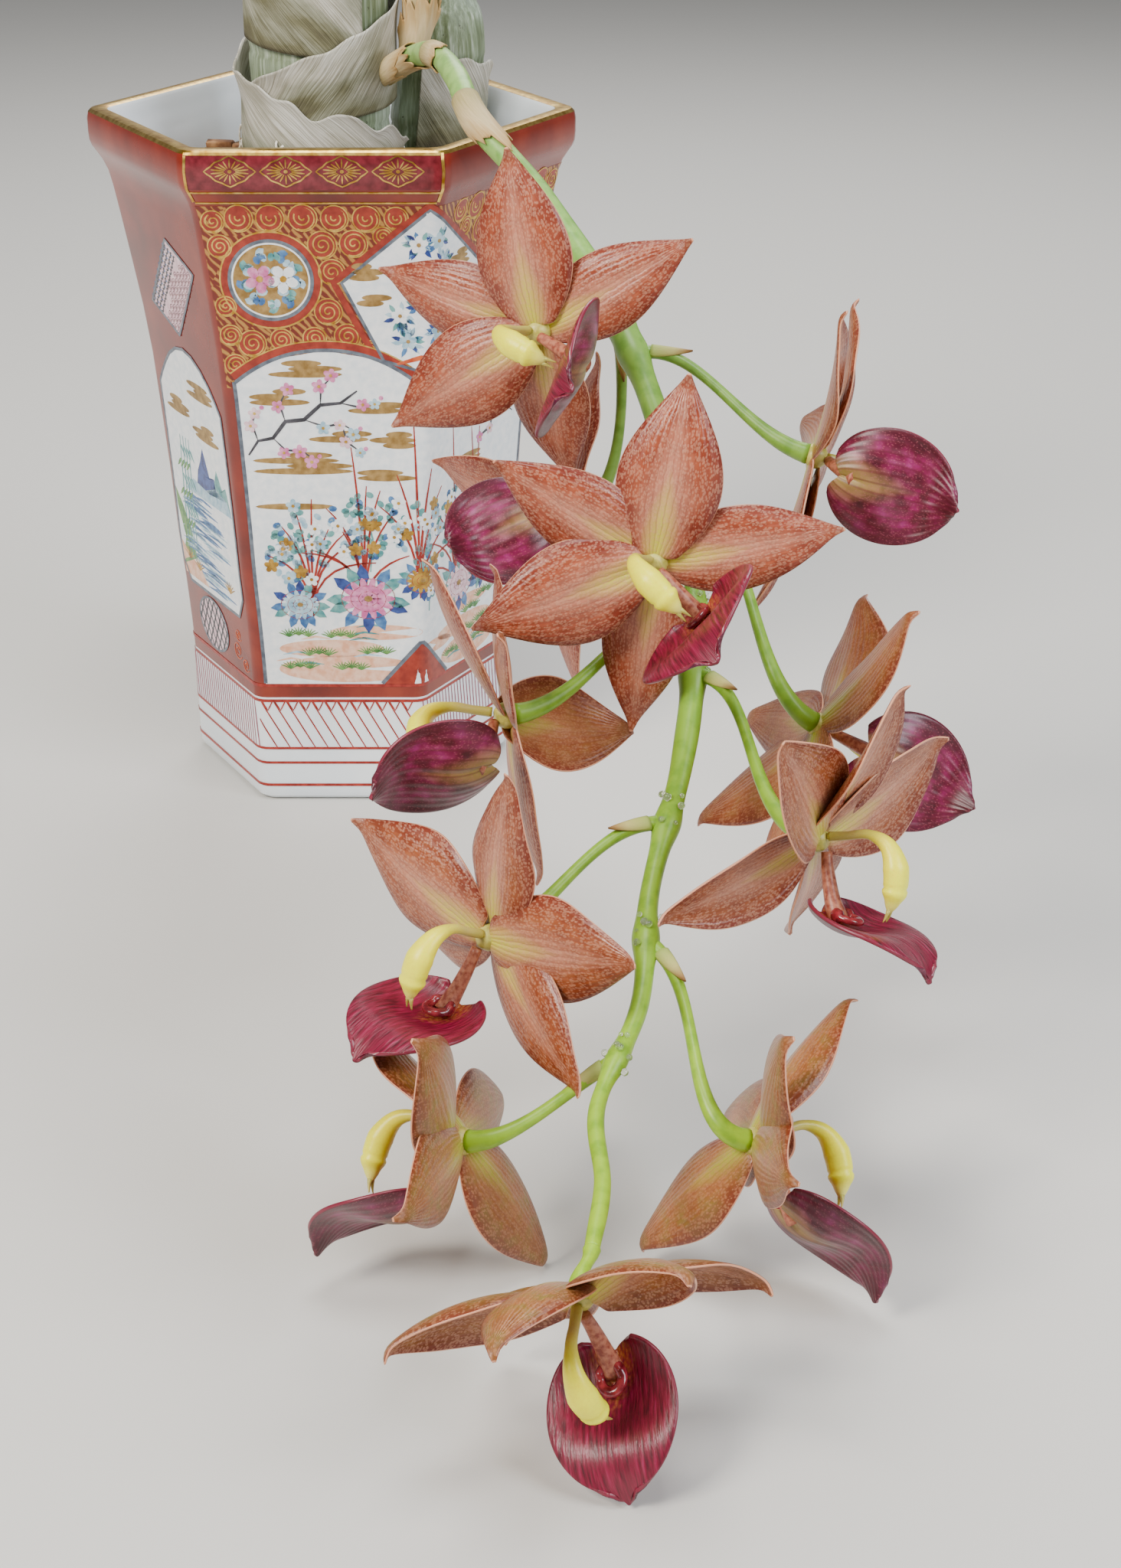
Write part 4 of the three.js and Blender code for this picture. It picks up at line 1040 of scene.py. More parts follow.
for number, (node, (form, off, start, sweep, low, high, ragged, lean_over)) in enumerate(SHEATHS.items()):
    foot, lean, levels = form
    wrap = sheet(SHEATH_COLUMNS, SHEATH_ROWS)
    wrap.name = node + "_torn"
    chance = random.Random(40 + number)
    waves = [(chance.uniform(8, 60), chance.uniform(0, 6), chance.uniform(0.3, 1)) for _ in range(9)]
    lift = wrap.data.attributes.new("lift", "FLOAT", "POINT")
    flat = {}
    for vertex in wrap.data.vertices:
        round_share, up_share = vertex.co.x + 0.5, vertex.co.y + 0.5
        turn = math.radians(start + sweep * round_share)
        tear = sum(w * math.sin(k * round_share + p) for k, p, w in waves) / 4
        bottom = low[0] + (low[1] - low[0]) * round_share
        top = high[0] + (high[1] - high[0]) * round_share + ragged * tear
        height = bottom + (top - bottom) * up_share
        lifted = 1.1 * up_share ** 6 * (1 + 0.6 * math.sin(9 * round_share + number))
        lifted += 0.5 * (abs(round_share - 0.5) * 2) ** 12
        crease = 0.28 * math.sin(27 * round_share + 5 * up_share + number) * math.sin(
            3 * up_share + 11 * round_share)
        reach = read_off(levels, height) + off + lifted + crease
        rise = height - levels[0][1]
        vertex.co = Vector((foot[0] + lean[0] * rise + reach * math.cos(turn),
                            foot[1] + lean[1] * rise + reach * math.sin(turn), height)) * MM
        flat[vertex.index] = (height + 3 * number,
                              math.radians(sweep) * reach * round_share + lean_over * height)
        lift.data[vertex.index].value = up_share
    for loop in wrap.data.loops:
        wrap.data.uv_layers[0].data[loop.index].uv = flat[loop.vertex_index]
    face_outward(wrap)
    modify(wrap, "SOLIDIFY", thickness=SHEATH_THICK * MM, offset=0)
    settle(wrap)
    dress(wrap, sheath_skin)
    enter(wrap, node)

# Young shoot: leathery green leaves folded round one another, beside the foot of the flower stem.
SHOOT_LINE = [(24.1, -3, 222), (27.5, -2, 240), (29.5, 0, 262), (31, 3, 284)]
SHOOT_RADII = [3.4, 4.6, 3.2, 0.7]

leafy = Skin("leathery_leaf_green", Roughness=0.42, Specular_IOR_Level=0.5)
leaf_lines = leafy.noise(leafy.stretch(leafy.flat(), 0.03, 1.4, 1), 1, 4)
shoot_green = leafy.finish(leafy.ramp(leaf_lines, (0.35, "#2f4417"), (0.5, "#48632a"), (0.65, "#7f9450")),
                           leaf_lines, 0.3, 0.0004)
shoot_run = even_run([Vector(p) for p in SHOOT_LINE], 60)
rolled = tube("young_shoot_leaves", shoot_run, lambda t: listed(SHOOT_RADII, t) * 0.93, 28)
dress(rolled, shoot_green)
enter(rolled, "young_shoot")

# Dry fibres: white root wisps at the foot of the main bulb, and the frayed end of the back bulb.
FRAY_TOP = Vector((34.3, 28.3, 239))
ROOTS_FROM = Vector((-3, 0, 0))
UP = Vector((0, 0, 1))
fray_chance = random.Random(21)
wisps = []
for i in range(26):
    turn = fray_chance.uniform(0, 2 * math.pi)
    around = Vector((math.cos(turn), math.sin(turn), 0))
    out = (around + UP * fray_chance.uniform(0.7, 1.6)).normalized()
    start = FRAY_TOP + around * fray_chance.uniform(1, 4.4)
    long = fray_chance.uniform(4, 9)
    bow = Vector((fray_chance.uniform(-2, 2), fray_chance.uniform(-2, 2), 0))
    line = [start - out * 2, start + out * long * 0.5 + bow * 0.4, start + out * long + bow]
    wisps.append(tube("wisp", even_run(line, 8, 40), lambda t: 0.5 * (1 - 0.75 * t), 6))
for i in range(30):
    turn = math.radians(fray_chance.uniform(150, 330) if i < 20 else fray_chance.uniform(0, 360))
    out = Vector((math.cos(turn), math.sin(turn), 0))
    side = Vector((-math.sin(turn), math.cos(turn), 0)) * fray_chance.uniform(-7, 7)
    start = ROOTS_FROM + out * 18
    rise = fray_chance.uniform(194, 203)
    line = [start + UP * rise,
            start + out * fray_chance.uniform(4, 7) + side * 0.4 + UP * (rise + fray_chance.uniform(0, 3)),
            start + out * fray_chance.uniform(5, 9) + side + UP * (rise - 5),
            start + out * fray_chance.uniform(5, 12) + side * 1.5 + UP * 190.4]
    wisps.append(tube("wisp", even_run(line, 14, 60), lambda t: 0.42 * (1 - 0.4 * t), 6))
fibres = join("dry_fibres", wisps)
dress(fibres, grained("dry_white_fibre", 500, 3, [(0.35, "#b3a98c"), (0.6, "#efebe0")],
                      Roughness=0.8, Specular_IOR_Level=0.25))
enter(fibres)

# Flower stem: one long arching raceme stalk, green and smooth, that pushes out at the foot of the
# bulb, bends over the rim and hangs down in front. A swollen joint and a scale carry each stalk.

STEM_LINE = [
    (15, -7, 220), (25, -17, 227), (33, -36, 231.5), (40, -60, 229.5), (46, -80, 221.5), (64, -101, 205),
    (82, -128, 183), (95, -154, 156.5), (102, -186, 126), (101.5, -206, 109), (98, -226, 94.5),
    (90, -254, 76), (87, -281, 61), (77, -308, 50), (78, -328, 44), (75.5, -348, 41),
]
STEM_RADII = (3.3, 3.4, 3.5, 3.4, 3.1, 2.6, 2, 1.7)
STEM_RINGS = 420
JOINT_SWELL = 0.9
STALK_RADIUS = 1.55
STALK_RINGS = 44
BOSS_BACK = -3.4

# Each bloom's place, the way it faces and the way its back sepal points, how far along the stem its
# stalk starts, the stalk's first direction, its lip's width factor, [swing round, lift forward] in degrees
# of the back sepal, the two petals and the two side sepals, and how far its lip hangs down
BLOOMS = [
    ((63, -162, 185), (-0.29, -0.95, 0.12), (-0.89, 0.32, 0.33), 0.345, (-0.2, -0.8, -0.5), 1.25,
     ((4, -6), (54, 0), (-60, 0), (114, -27), (-128, -5)), 0),
    ((91, -219, 145), (-0.08, -0.99, 0.14), (-0.74, 0.15, 0.66), 0.525, (0.2, -0.6, 0.7), 1.25,
     ((8, 8), (62, 8), (-58, -3), (126, -14), (-128, -6)), 0),
    ((135, -160, 152), (0.96, -0.17, -0.22), (0.15, 0.98, -0.14), 0.4, (0.9, 0.1, 0.2), 1,
     ((0, -8), (56, -5), (-56, -10), (118, -4), (-118, -6)), 0),
    ((69, -144, 128), (-0.88, -0.41, -0.23), (-0.17, 0.74, -0.65), 0.375, (0.1, 0.3, -1), 1,
     ((0, -5), (63, 12), (-60, 20), (122, -10), (-122, -32)), 0),
    ((55, -224, 108), (-0.97, -0.25, -0.03), (-0.25, 0.91, 0.34), 0.575, (-0.8, -0.4, 0.4), 1,
     ((-13, -9), (65, -62), (-70, 20), (114, -8), (-112, 9)), 0),
    ((52, -273, 74), (-0.71, -0.69, 0.11), (0.14, 0.01, 0.99), 0.715, (-0.9, -0.2, 0.2), 1,
     ((-6, 8), (74, 4), (-74, -6), (112, -18), (-116, 8)), 0),
    ((46, -305, 40), (-0.88, 0.42, -0.24), (0.08, 0.62, 0.78), 0.87, (-0.8, 0.1, -0.6), 1,
     ((1, 50), (71, 16), (-68, -18), (122, -4), (-119, -13)), 12),
    ((113, -307, 41), (0.89, 0.29, -0.34), (0.05, 0.68, 0.73), 0.79, (0.6, -0.4, -0.2), 1,
     ((2, 35), (71, -24), (-71, 18), (111, -18), (-118, -9)), 25),
    ((73, -361, 37.8), (0.03, -0.83, -0.56), (-0.42, -0.52, 0.75), 1, (-0.1, -1, -0.1), 1,
     ((4, 34), (54, 18), (-55, 12), (134, -6), (-134, -6)), 0),
    ((129, -257, 91), (0.8, -0.6, -0.07), (0.26, 0.24, 0.93), 0.615, (0.7, -0.5, 0.1), 1,
     ((11, 19), (57, 1), (-52, 7), (124, -20), (-135, -20)), 0),
    ((134, -206, 97), (0.82, 0.18, -0.55), (-0.33, 0.93, -0.19), 0.5, (0.8, 0, -0.2), 1,
     ((-7, 4), (53, 6), (-55, -9), (132, -10), (-122, -8)), 0),
]


def bloom_axes(bloom):
    """Where a bloom is, its forward and upward directions, and across."""
    forward = Vector(bloom[1]).normalized()
    upward = Vector(bloom[2])
    upward = (upward - forward * upward.dot(forward)).normalized()
    return Vector(bloom[0]), forward, upward, forward.cross(upward)


stem_run = even_run([Vector(p) for p in STEM_LINE], STEM_RINGS, 2400)


def stem_radius(share):
    swell = sum(math.exp(-((share - bloom[3]) / 0.011) ** 2) for bloom in BLOOMS[:8] + BLOOMS[9:])
    wander = 0.12 * math.sin(share * 41) + 0.08 * math.sin(share * 97 + 1)
    return listed(STEM_RADII, share) + wander + JOINT_SWELL * min(swell, 1.1)


def stalk_radius(share):
    return STALK_RADIUS * (1.25 - 0.35 * math.sin(math.pi * min(1, share * 1.15)) + 0.5 * share ** 8)


def shoot_radius(share):
    return listed(SHOOT_RADII, share)


def stalk_run(bloom):
    """The stalk of one bloom, from inside the stem to just inside the bloom's boss."""
    centre, forward, _, _ = bloom_axes(bloom)
    start = stem_run[round(bloom[3] * STEM_RINGS)]
    end = centre + forward * (BOSS_BACK + 0.4)
    reach = (end - start).length / 3
    near = start + Vector(bloom[4]).normalized() * reach
    far = end - forward * reach
    shares = [i / STALK_RINGS for i in range(STALK_RINGS + 1)]
    return [start * (1 - t) ** 3 + near * 3 * t * (1 - t) ** 2 + far * 3 * t * t * (1 - t) + end * t ** 3
            for t in shares]


# Stem skin: smooth fresh green, pale near the bulb and lime towards the tip, softly glossy
green = Skin("smooth_fresh_stalk_green", Roughness=0.38, Specular_IOR_Level=0.5, Subsurface_Weight=0.12,
             Subsurface_Scale=0.002)
outward = green.span(green.split(green.place())["Y"], -0.03, -0.36, 0, 1)
green_tone = green.ramp(outward, (0, "#9cc070"), (0.25, "#86b552"), (0.55, "#86b22e"), (1, "#a0c81e"))
streak = green.noise(green.place(), 260, 3)
green_streaked = green.mix(0.5, green_tone, green.ramp(streak, (0.35, "#a8c49a"), (0.55, "#ffffff")),
                           "MULTIPLY")
stem_skin = green.finish(green_streaked, streak, 0.12, 0.0004)

# Scale skin: dry and yellowish green, brown at the tip
dry = Skin("dry_scale_leaf", Roughness=0.6, Specular_IOR_Level=0.3)
dry_tone = dry.ramp(dry.split(dry.flat())["Y"], (0, "#a8bb5c"), (0.55, "#c7bd72"), (0.85, "#a8814c"),
                    (1, "#7a5532"))
scale_skin = dry.finish(dry_tone, dry.noise(dry.flat(), 14, 3), 0.3, 0.0003)

# Bract skin: brown and torn at the foot, greener further out
torn = Skin("dry_brown_bract", Roughness=0.7, Specular_IOR_Level=0.3)
torn_grain = torn.noise(torn.stretch(torn.flat(), 34, 2.4, 1), 1, 4)
torn_share = torn.math("MULTIPLY_ADD", torn_grain, 0.5,
                       torn.math("MULTIPLY", torn.split(torn.flat())["Y"], 0.6))
bract_skin = torn.finish(torn.ramp(torn_share, (0.3, "#a89a68"), (0.6, "#cdb78c"), (0.85, "#b8955f"),
                                   (1, "#8c6238")), torn_grain, 0.5, 0.0004)


def thin(blade, skin):
    modify(blade, "SOLIDIFY", thickness=0.35 * MM, offset=0)
    settle(blade)
    return dress(blade, skin)


def scale_leaf(root, way, under, length, width, curl):
    """A small pointed scale that hugs a stalk and lifts off it at its tip."""
    blade = sheet(8, 12)
    side = way.cross(under).normalized()
    for vertex in blade.data.vertices:
        s, t = vertex.co.x * 2, vertex.co.y + 0.5
        half = width * (1 - t) ** 0.7 * (0.75 + 0.6 * t)
        hug = math.radians(75) * s * (1 - 0.6 * t)
        reach = STALK_RADIUS * 1.12 + curl * 3 * t * t
        vertex.co = (root + way * length * t + under * reach * math.cos(hug)
                     + side * half * math.sin(hug)) * MM
    return thin(blade, scale_skin)


def clasping_bract(run, first, length, radius, turn, sweep, flare, seed):
    """A thin sheath round part of a run, pointed in the middle of its upper edge and torn there."""
    blade = sheet(26, 14)
    chance = random.Random(seed)
    waves = [(chance.uniform(5, 30), chance.uniform(0, 6)) for _ in range(4)]
    step = (run[1] - run[0]).length
    above = Vector((0.1, 0.3, 1))
    for vertex in blade.data.vertices:
        s, t = vertex.co.x * 2, vertex.co.y + 0.5
        rough = sum(math.sin(k * s + p) for k, p in waves) * 0.05
        far = t * length * (1 - 0.55 * abs(s) ** 1.4 + rough)
        place = min(first + far / step, len(run) - 2)
        i = int(place)
        point = run[i].lerp(run[i + 1], place - i)
        way = (run[i + 1] - run[i]).normalized()
        side = (above - way * way.dot(above)).normalized()
        angle = math.radians(turn + sweep / 2 * s)
        reach = radius(place / len(run)) + 0.35 + flare * t ** 3 * (1 - 0.4 * abs(s))
        vertex.co = (point + side * reach * math.cos(angle) + way.cross(side) * reach * math.sin(angle)) * MM
    return thin(blade, bract_skin)


stem_parts = [tube("stem", stem_run, stem_radius, 22)]
scales = []
for bloom in BLOOMS:
    run = stalk_run(bloom)
    stem_parts.append(tube("stalk", run, stalk_radius, 14))
    if bloom[3] < 1:
        way = (run[6] - run[4]).normalized()
        under = Vector((0, -0.6, 0.8))
        under = (under - way * under.dot(way)).normalized()
        scales.append(scale_leaf(run[4], way, under, 11, 2.6, 0.3))
flower_stem = join("flower_stem_green", stem_parts)
dress(flower_stem, stem_skin)
enter(flower_stem, "flower_stem")
enter(join("stem_scales", scales))

# Papery bracts: dry sheaths that clasp the foot of the stem and of the young shoot, and each joint of
# the bare stem between the bulb and the first stalk.
bracts = [
    clasping_bract(stem_run, 1, 18, stem_radius, 20, 320, 0.5, 1),
    clasping_bract(stem_run, 4, 24, stem_radius, 190, 300, 0.4, 2),
    clasping_bract(stem_run, 34, 15, stem_radius, 100, 280, 0.3, 3),
    clasping_bract(stem_run, 74, 24, stem_radius, 30, 250, 0.4, 4),
    clasping_bract(shoot_run, 1, 20, shoot_radius, 200, 280, 1.8, 5),
    clasping_bract(shoot_run, 4, 30, shoot_radius, 20, 220, 2.2, 6),
    clasping_bract(shoot_run, 10, 34, shoot_radius, 120, 170, 2.6, 7),
]
enter(join("papery_bracts", bracts))

# Sap: clear sticky drops that sit on the joints of the lower stalks.
sap_clear = Skin("clear_sticky_sap", Roughness=0.04, IOR=1.38, Transmission_Weight=0.9,
                 Base_Color=tint("#f6fbe8")).material
sap_chance = random.Random(31)
drops = []
for bloom in BLOOMS[4:8] + BLOOMS[9:]:
    ring_number = round(bloom[3] * STEM_RINGS)
    joint = stem_run[ring_number]
    way = (stem_run[ring_number + 1] - joint).normalized()
    for _ in range(7):
        out = Vector((sap_chance.uniform(-1, 1), sap_chance.uniform(-1, -0.2), sap_chance.uniform(-0.4, 1)))
        out = (out - way * out.dot(way)).normalized()
        size = sap_chance.uniform(0.5, 1.05)
        middle = joint + way * sap_chance.uniform(-7, 3) + out * (stem_radius(bloom[3]) + size * 0.35)
        bpy.ops.mesh.primitive_ico_sphere_add(subdivisions=2, radius=size * MM, location=middle * MM)
        drops.append(bpy.context.object)
sap = join("sap_drops_clear", drops)
settle(sap)
dress(sap, sap_clear)
enter(sap)

# Blooms: five fleshy pointed tepals (three sepals, two petals) on a small boss, about 90 mm across.
# The upper blooms are salmon red; the lower, older ones turn bronze with an olive blush.

# Length and half width, and how far in front of the boss's middle each starts
SEPAL, SEPAL_LAYER = (44, 10.5), -2
PETAL, PETAL_LAYER = (44, 12.8), 0.6
TEPAL_ROOT = 1.6
TEPAL_THICK = 0.7
TEPAL_COLUMNS, TEPAL_ROWS = 12, 22
FLOOR_GAP = 0.9
# How bronze each bloom is, from 0, salmon, to 1, olive bronze, and how far its margins bend forward
BRONZE = (0.12, 0.1, 0.3, 0.15, 0.35, 0.42, 0.85, 0.8, 0.95, 0.5, 0.45)
BENDS = (34, 34, 18, 34, 24, 22, -16, -20, -56, 22, 18)
CUPS = (-0.15, -0.17, 0.16, -0.1, -0.12, -0.18, 0.24, 0.28, 0.3, 0.16, 0.14)


def tepal_outline(t):
    """Half width of a tepal over its widest: a narrow foot, drawn out to a point."""
    eased = (0.08 + 0.92 * t) ** 0.9
    return max(math.sin(math.pi * eased), 0) ** 0.85 * (1 - 0.3 * t ** 4)


def above_floor(point):
    """Keeps a thin tip from sinking into the surface the spray lies on."""
    return Vector((point.x, point.y, max(point.z, FLOOR_GAP)))


def two_layers(blade, places):
    """Gives each vertex its place in millimetres and its shares across and along, as two UV layers."""
    flat = blade.data.uv_layers[0]
    shares = blade.data.uv_layers["shares"]
    for loop in blade.data.loops:
        flat.data[loop.index].uv, shares.data[loop.index].uv = places[loop.vertex_index]


def fleshy(blade, skins, thickness):
    """Thickens a sheet, with a skin for its face, its back and its rim, and rounds it."""
    dress(blade, *skins)
    modify(blade, "SOLIDIFY", thickness=thickness * MM, offset=0, material_offset=1,
           material_offset_rim=2)
    modify(blade, "SUBSURF", levels=1, render_levels=1)
    settle(blade)
    return blade


def tepal_mesh(axes, size, pose, behind, chance, bronze, cup, bend):
    """One tepal as a thin closed blade."""
    centre, forward, upward, across = axes
    length, half = size
    swing, lift = (math.radians(a) for a in pose)
    outward = upward * math.cos(swing) + across * math.sin(swing)
    sideways = forward.cross(outward)
    first = lift + bend / 2
    ripple = [(chance.uniform(4, 11), chance.uniform(0, 6), chance.uniform(0.2, 0.5)) for _ in range(3)]
    lean, twist = chance.uniform(-0.9, 0.9), chance.uniform(-0.09, 0.09)
    cup_share = chance.uniform(0.75, 1.3)
    blade = sheet(TEPAL_COLUMNS, TEPAL_ROWS)
    blade.data.uv_layers.new(name="shares")
    age = blade.data.attributes.new("bronze", "FLOAT", "POINT")
    places = {}
    for vertex in blade.data.vertices:
        side, t = vertex.co.x * 2, vertex.co.y + 0.5
        slope = first - bend * t
        out = TEPAL_ROOT + length * (math.sin(first) - math.sin(slope)) / bend
        ahead = behind + length * (math.cos(slope) - math.cos(first)) / bend
        normal = forward * math.cos(slope) - outward * math.sin(slope)
        width = max(half * tepal_outline(t), 0.35)
        edge = abs(side)
        fold = (cup * cup_share * width * edge ** 2
                - 0.55 * math.exp(-(side / 0.12) ** 2) * math.sin(math.pi * min(1, 0.15 + t)))
        rolled = math.copysign(0.8, cup) * edge ** 6 * math.sin(math.pi * min(1, t * 1.02))
        wavy = sum(a * math.sin(k * t + p + 2 * side) for k, p, a in ripple) * edge ** 3 * math.sin(
            math.pi * t)
        turned_up = twist * side * width * t
        hook = 2.2 * max(0, (t - 0.93) / 0.07) ** 2
        point = (centre + outward * out + forward * ahead + sideways * (side * width + lean * t * t)
                 + normal * (fold + rolled + wavy + turned_up + hook))
        vertex.co = above_floor(point) * MM
        age.data[vertex.index].value = bronze
        places[vertex.index] = ((side * width, t * length), (side / 2 + 0.5, t))
    two_layers(blade, places)
    face_towards(blade, forward)
    return fleshy(blade, tepal_skins, TEPAL_THICK)


def tepal_skin(name, ground, blush, pale, base, speck, speck_low, vein_depth):
    """Fleshy waxy tepal skin: ground colours for salmon and bronze blooms, a yellow-green foot, a paler
    painted sheen down the middle, fine pale specks in rows between the veins, and a darker margin that
    is partly the tepal's own colour and partly painted shade."""
    skin = Skin(name, Roughness=0.33, Specular_IOR_Level=0.5, Subsurface_Weight=0.08,
                Subsurface_Scale=0.0015)
    flat = skin.flat()
    share = skin.split(skin.flat("shares"))
    across = skin.math("SUBTRACT", share["X"], 0.5)
    distance = skin.math("ABSOLUTE", across)
    # Ground: salmon to bronze by age, mottled at about 6 mm
    clouds = skin.noise(flat, 0.16, 4)
    age = skin.add("Attribute", {}, "Fac", attribute_name="bronze")
    colour = skin.mix(age, skin.ramp(clouds, *ground), skin.ramp(clouds, *blush))
    # A paler flush down the middle, and a redder margin towards both edges and the point
    # Painted sheen: a paler band down the middle stands in for the highlight on the cupped tepal
    middle = skin.math("MULTIPLY_ADD", share["Y"], 0.35, distance)
    colour = skin.mix(skin.span(middle, 0.08, 0.42, 0.75, 0), colour, pale)
    # Darker margin towards both edges: partly the tepal's own dark edge, partly painted shade where the
    # margins curve away; darker towards the point as well
    colour = skin.mix(skin.span(distance, 0.27, 0.5, 0, 0.9), colour, "#6a1d14")
    colour = skin.mix(skin.span(share["Y"], 0.8, 1, 0, 0.55), colour, "#7c3a22")
    # Foot: yellow-green, running up the midline
    foot = skin.math("ADD", share["Y"], skin.math("MULTIPLY", distance, 1.6))
    colour = skin.mix(skin.span(foot, 0.1, 0.52, 1, 0), colour, base)
    # Specks: pale cells about 0.6 mm wide, longer along the veins
    cells = skin.cells(skin.stretch(flat, 1.7, 1, 1), 1.25)
    reach = skin.span(skin.noise(flat, 0.35, 3), 0.35, 0.65, speck_low, 0.62)
    dotted = skin.span(skin.math("SUBTRACT", cells, reach), -0.12, 0.02, 0.34, 0)
    colour = skin.mix(dotted, colour, speck)
    # Veins: about 15 lines that meet at the foot and the point
    vein = skin.math("SINE", skin.math("MULTIPLY_ADD", skin.noise(flat, 0.22, 2), 5,
                                       skin.math("MULTIPLY", across, 94)))
    colour = skin.mix(skin.span(vein, 0.55, 1, 0, vein_depth), colour, "#7c3020")
    return skin.finish(colour, skin.math("MULTIPLY_ADD", vein, -0.5, dotted), 0.28, 0.0003)


# The face, the back, and the rim: the cut-glass thin edge, where the tepal lets light through
tepal_skins = (
    # The colour after the two ground ramps is the painted sheen down the middle of each tepal
    tepal_skin("fleshy_salmon_tepal_face",
               ((0.3, "#7a2b17"), (0.45, "#923e26"), (0.6, "#a65136"), (0.75, "#b6654a")),
               ((0.3, "#6e3410"), (0.45, "#864a16"), (0.6, "#92581e"), (0.75, "#9a6e2a")),
               "#d69a80", "#cfca40", "#d8a080", 0.42, 0.34),
    tepal_skin("fleshy_salmon_tepal_back",
               ((0.3, "#843216"), (0.5, "#9e4a2a"), (0.7, "#b26444")),
               ((0.3, "#7c4a22"), (0.45, "#945f2c"), (0.6, "#807028"), (0.75, "#a6763c")),
               "#b4764e", "#b0b43c", "#c88c64", 0.38, 0.26),
    Skin("pale_tepal_rim", Roughness=0.4, Base_Color=tint("#d89a78"), Subsurface_Weight=0.2,
         Subsurface_Scale=0.0015).material,
)

# Column: a slender olive neck that arches over the lip and swells to a bright yellow club, with a
# cream cap over the pollen and two tiny prongs at its end.
COLUMN_LINE = ((2.1, 1.7), (6, 3.2), (11.5, 5.4), (16.5, 4.6), (20, 0.8), (21.6, -4.6), (21.8, -10))
COLUMN_RADII = (1.3, 1.2, 1.35, 2.3, 3.4, 3.2, 0.9)
COLUMN_LENGTH = 33.5

waxy = Skin("waxy_yellow_column", Roughness=0.36, Specular_IOR_Level=0.5, Subsurface_Weight=0.15,
            Subsurface_Scale=0.002)
waxy_along = waxy.math("DIVIDE", waxy.split(waxy.flat())["X"], COLUMN_LENGTH)
waxy_tone = waxy.ramp(waxy_along, (0, "#b8b052"), (0.2, "#bcae62"), (0.36, "#dad23c"), (0.46, "#faf020"),
                      (0.82, "#fffc28"), (0.93, "#fff88a"), (1, "#f6eea4"))
waxy_grain = waxy.noise(waxy.flat(), 1.6, 4)
waxy_colour = waxy.mix(0.3, waxy_tone, waxy.ramp(waxy_grain, (0.35, "#efe6a8"), (0.55, "#ffffff")),
                       "MULTIPLY")
column_skin = waxy.finish(waxy_colour, waxy_grain, 0.15, 0.0003)


def bloom_run(axes, line, count):
    centre, forward, upward, _ = axes
    return even_run([centre + forward * ahead + upward * up for ahead, up in line], count)


def column_radius(t):
    cap = 0.35 * math.exp(-((t - 0.86) / 0.03) ** 2) - 0.3 * math.exp(-((t - 0.815) / 0.012) ** 2)
    end = math.sqrt(max(0.02, 1 - max(0, (t - 0.93) / 0.075) ** 2))
    return (listed(COLUMN_RADII, t) + cap) * end


def column_piece(name, axes):
    _, forward, _, across = axes
    run = bloom_run(axes, COLUMN_LINE, 48)
    parts = [tube("column", run, column_radius, 20, 0.86, first_side=across)]
    way = (run[-1] - run[-4]).normalized()
    for side in (-1, 1):
        prong = [run[-1] - way * 0.8 + across * side * (0.5 + 0.35 * t) + way * 3.1 * t
                 + forward * -0.4 * t * t for t in (0, 0.3, 0.6, 0.85, 1)]
        parts.append(tube("prong", prong, lambda t: 0.62 * (1 - 0.8 * t), 8))
    return dress(join(name, parts), column_skin)


# Lip: a heart-shaped fleshy shell on a short claw, glossy wine red, with a cup-shaped callus at its
# foot. Outside it is dark at the rim and olive gold down the middle, under fine salmon specks.
LIP = {"rear": 6.5, "length": 28.5, "half": 14.8, "floor": -16, "rise": 5.2, "hook": 3.4, "notch": 2.2}
LIP_PIVOT = (10.5, -16.2)
LIP_THICK = 1.1
LIP_COLUMNS, LIP_ROWS = 24, 28
CLAW_LINE = ((2.5, -1.9), (4.2, -6), (7.5, -12.2), LIP_PIVOT)
CLAW_RADII = (1.3, 1.6, 1.9, 2.6)


def lip_outline(t):
    """Half width of the lip over its widest: nearly round, a little broader towards the claw."""
    eased = 0.035 + 0.955 * t ** 0.9
    return math.sqrt(4 * eased * (1 - eased))


def lip_point(axes, factor, hang, t, s):
    """A point of the lip's middle surface, t from claw to tip and s from side to side."""
    centre, forward, upward, across = axes
    half = LIP["half"] * factor * lip_outline(t)
    lobe = 1.6 * math.sin(math.pi * min(1, abs(s) * 1.05)) * (1 - t) ** 3
    ahead = LIP["rear"] + LIP["length"] * t - LIP["notch"] * s * s * (1 - t) ** 2 - lobe
    raised = LIP["rise"] / factor * s * s * (1 - 0.75 * t) * math.sin(math.pi * min(1, 0.25 + 0.7 * t))
    rolled = -1.3 * s ** 6 * math.sin(math.pi * t)
    dome = -1.7 * math.sin(2 * math.pi * t) * (1 - s * s * 0.6)
    crease = 1.1 * math.exp(-(s / 0.08) ** 2) * (1 - t) ** 1.5
    hooked = LIP["hook"] * t ** 5 * (1 - 0.4 * s * s)
    spur = 2.4 * max(0, (t - 0.9) / 0.1) ** 1.6 * math.exp(-(s / 0.55) ** 2)
    out = ahead + spur * 0.6 - LIP_PIVOT[0]
    over = LIP["floor"] + raised + rolled + dome + crease - hooked - spur - LIP_PIVOT[1]
    return (centre + across * half * s
            + forward * (LIP_PIVOT[0] + out * math.cos(hang) + over * math.sin(hang))
            + upward * (LIP_PIVOT[1] + over * math.cos(hang) - out * math.sin(hang)))


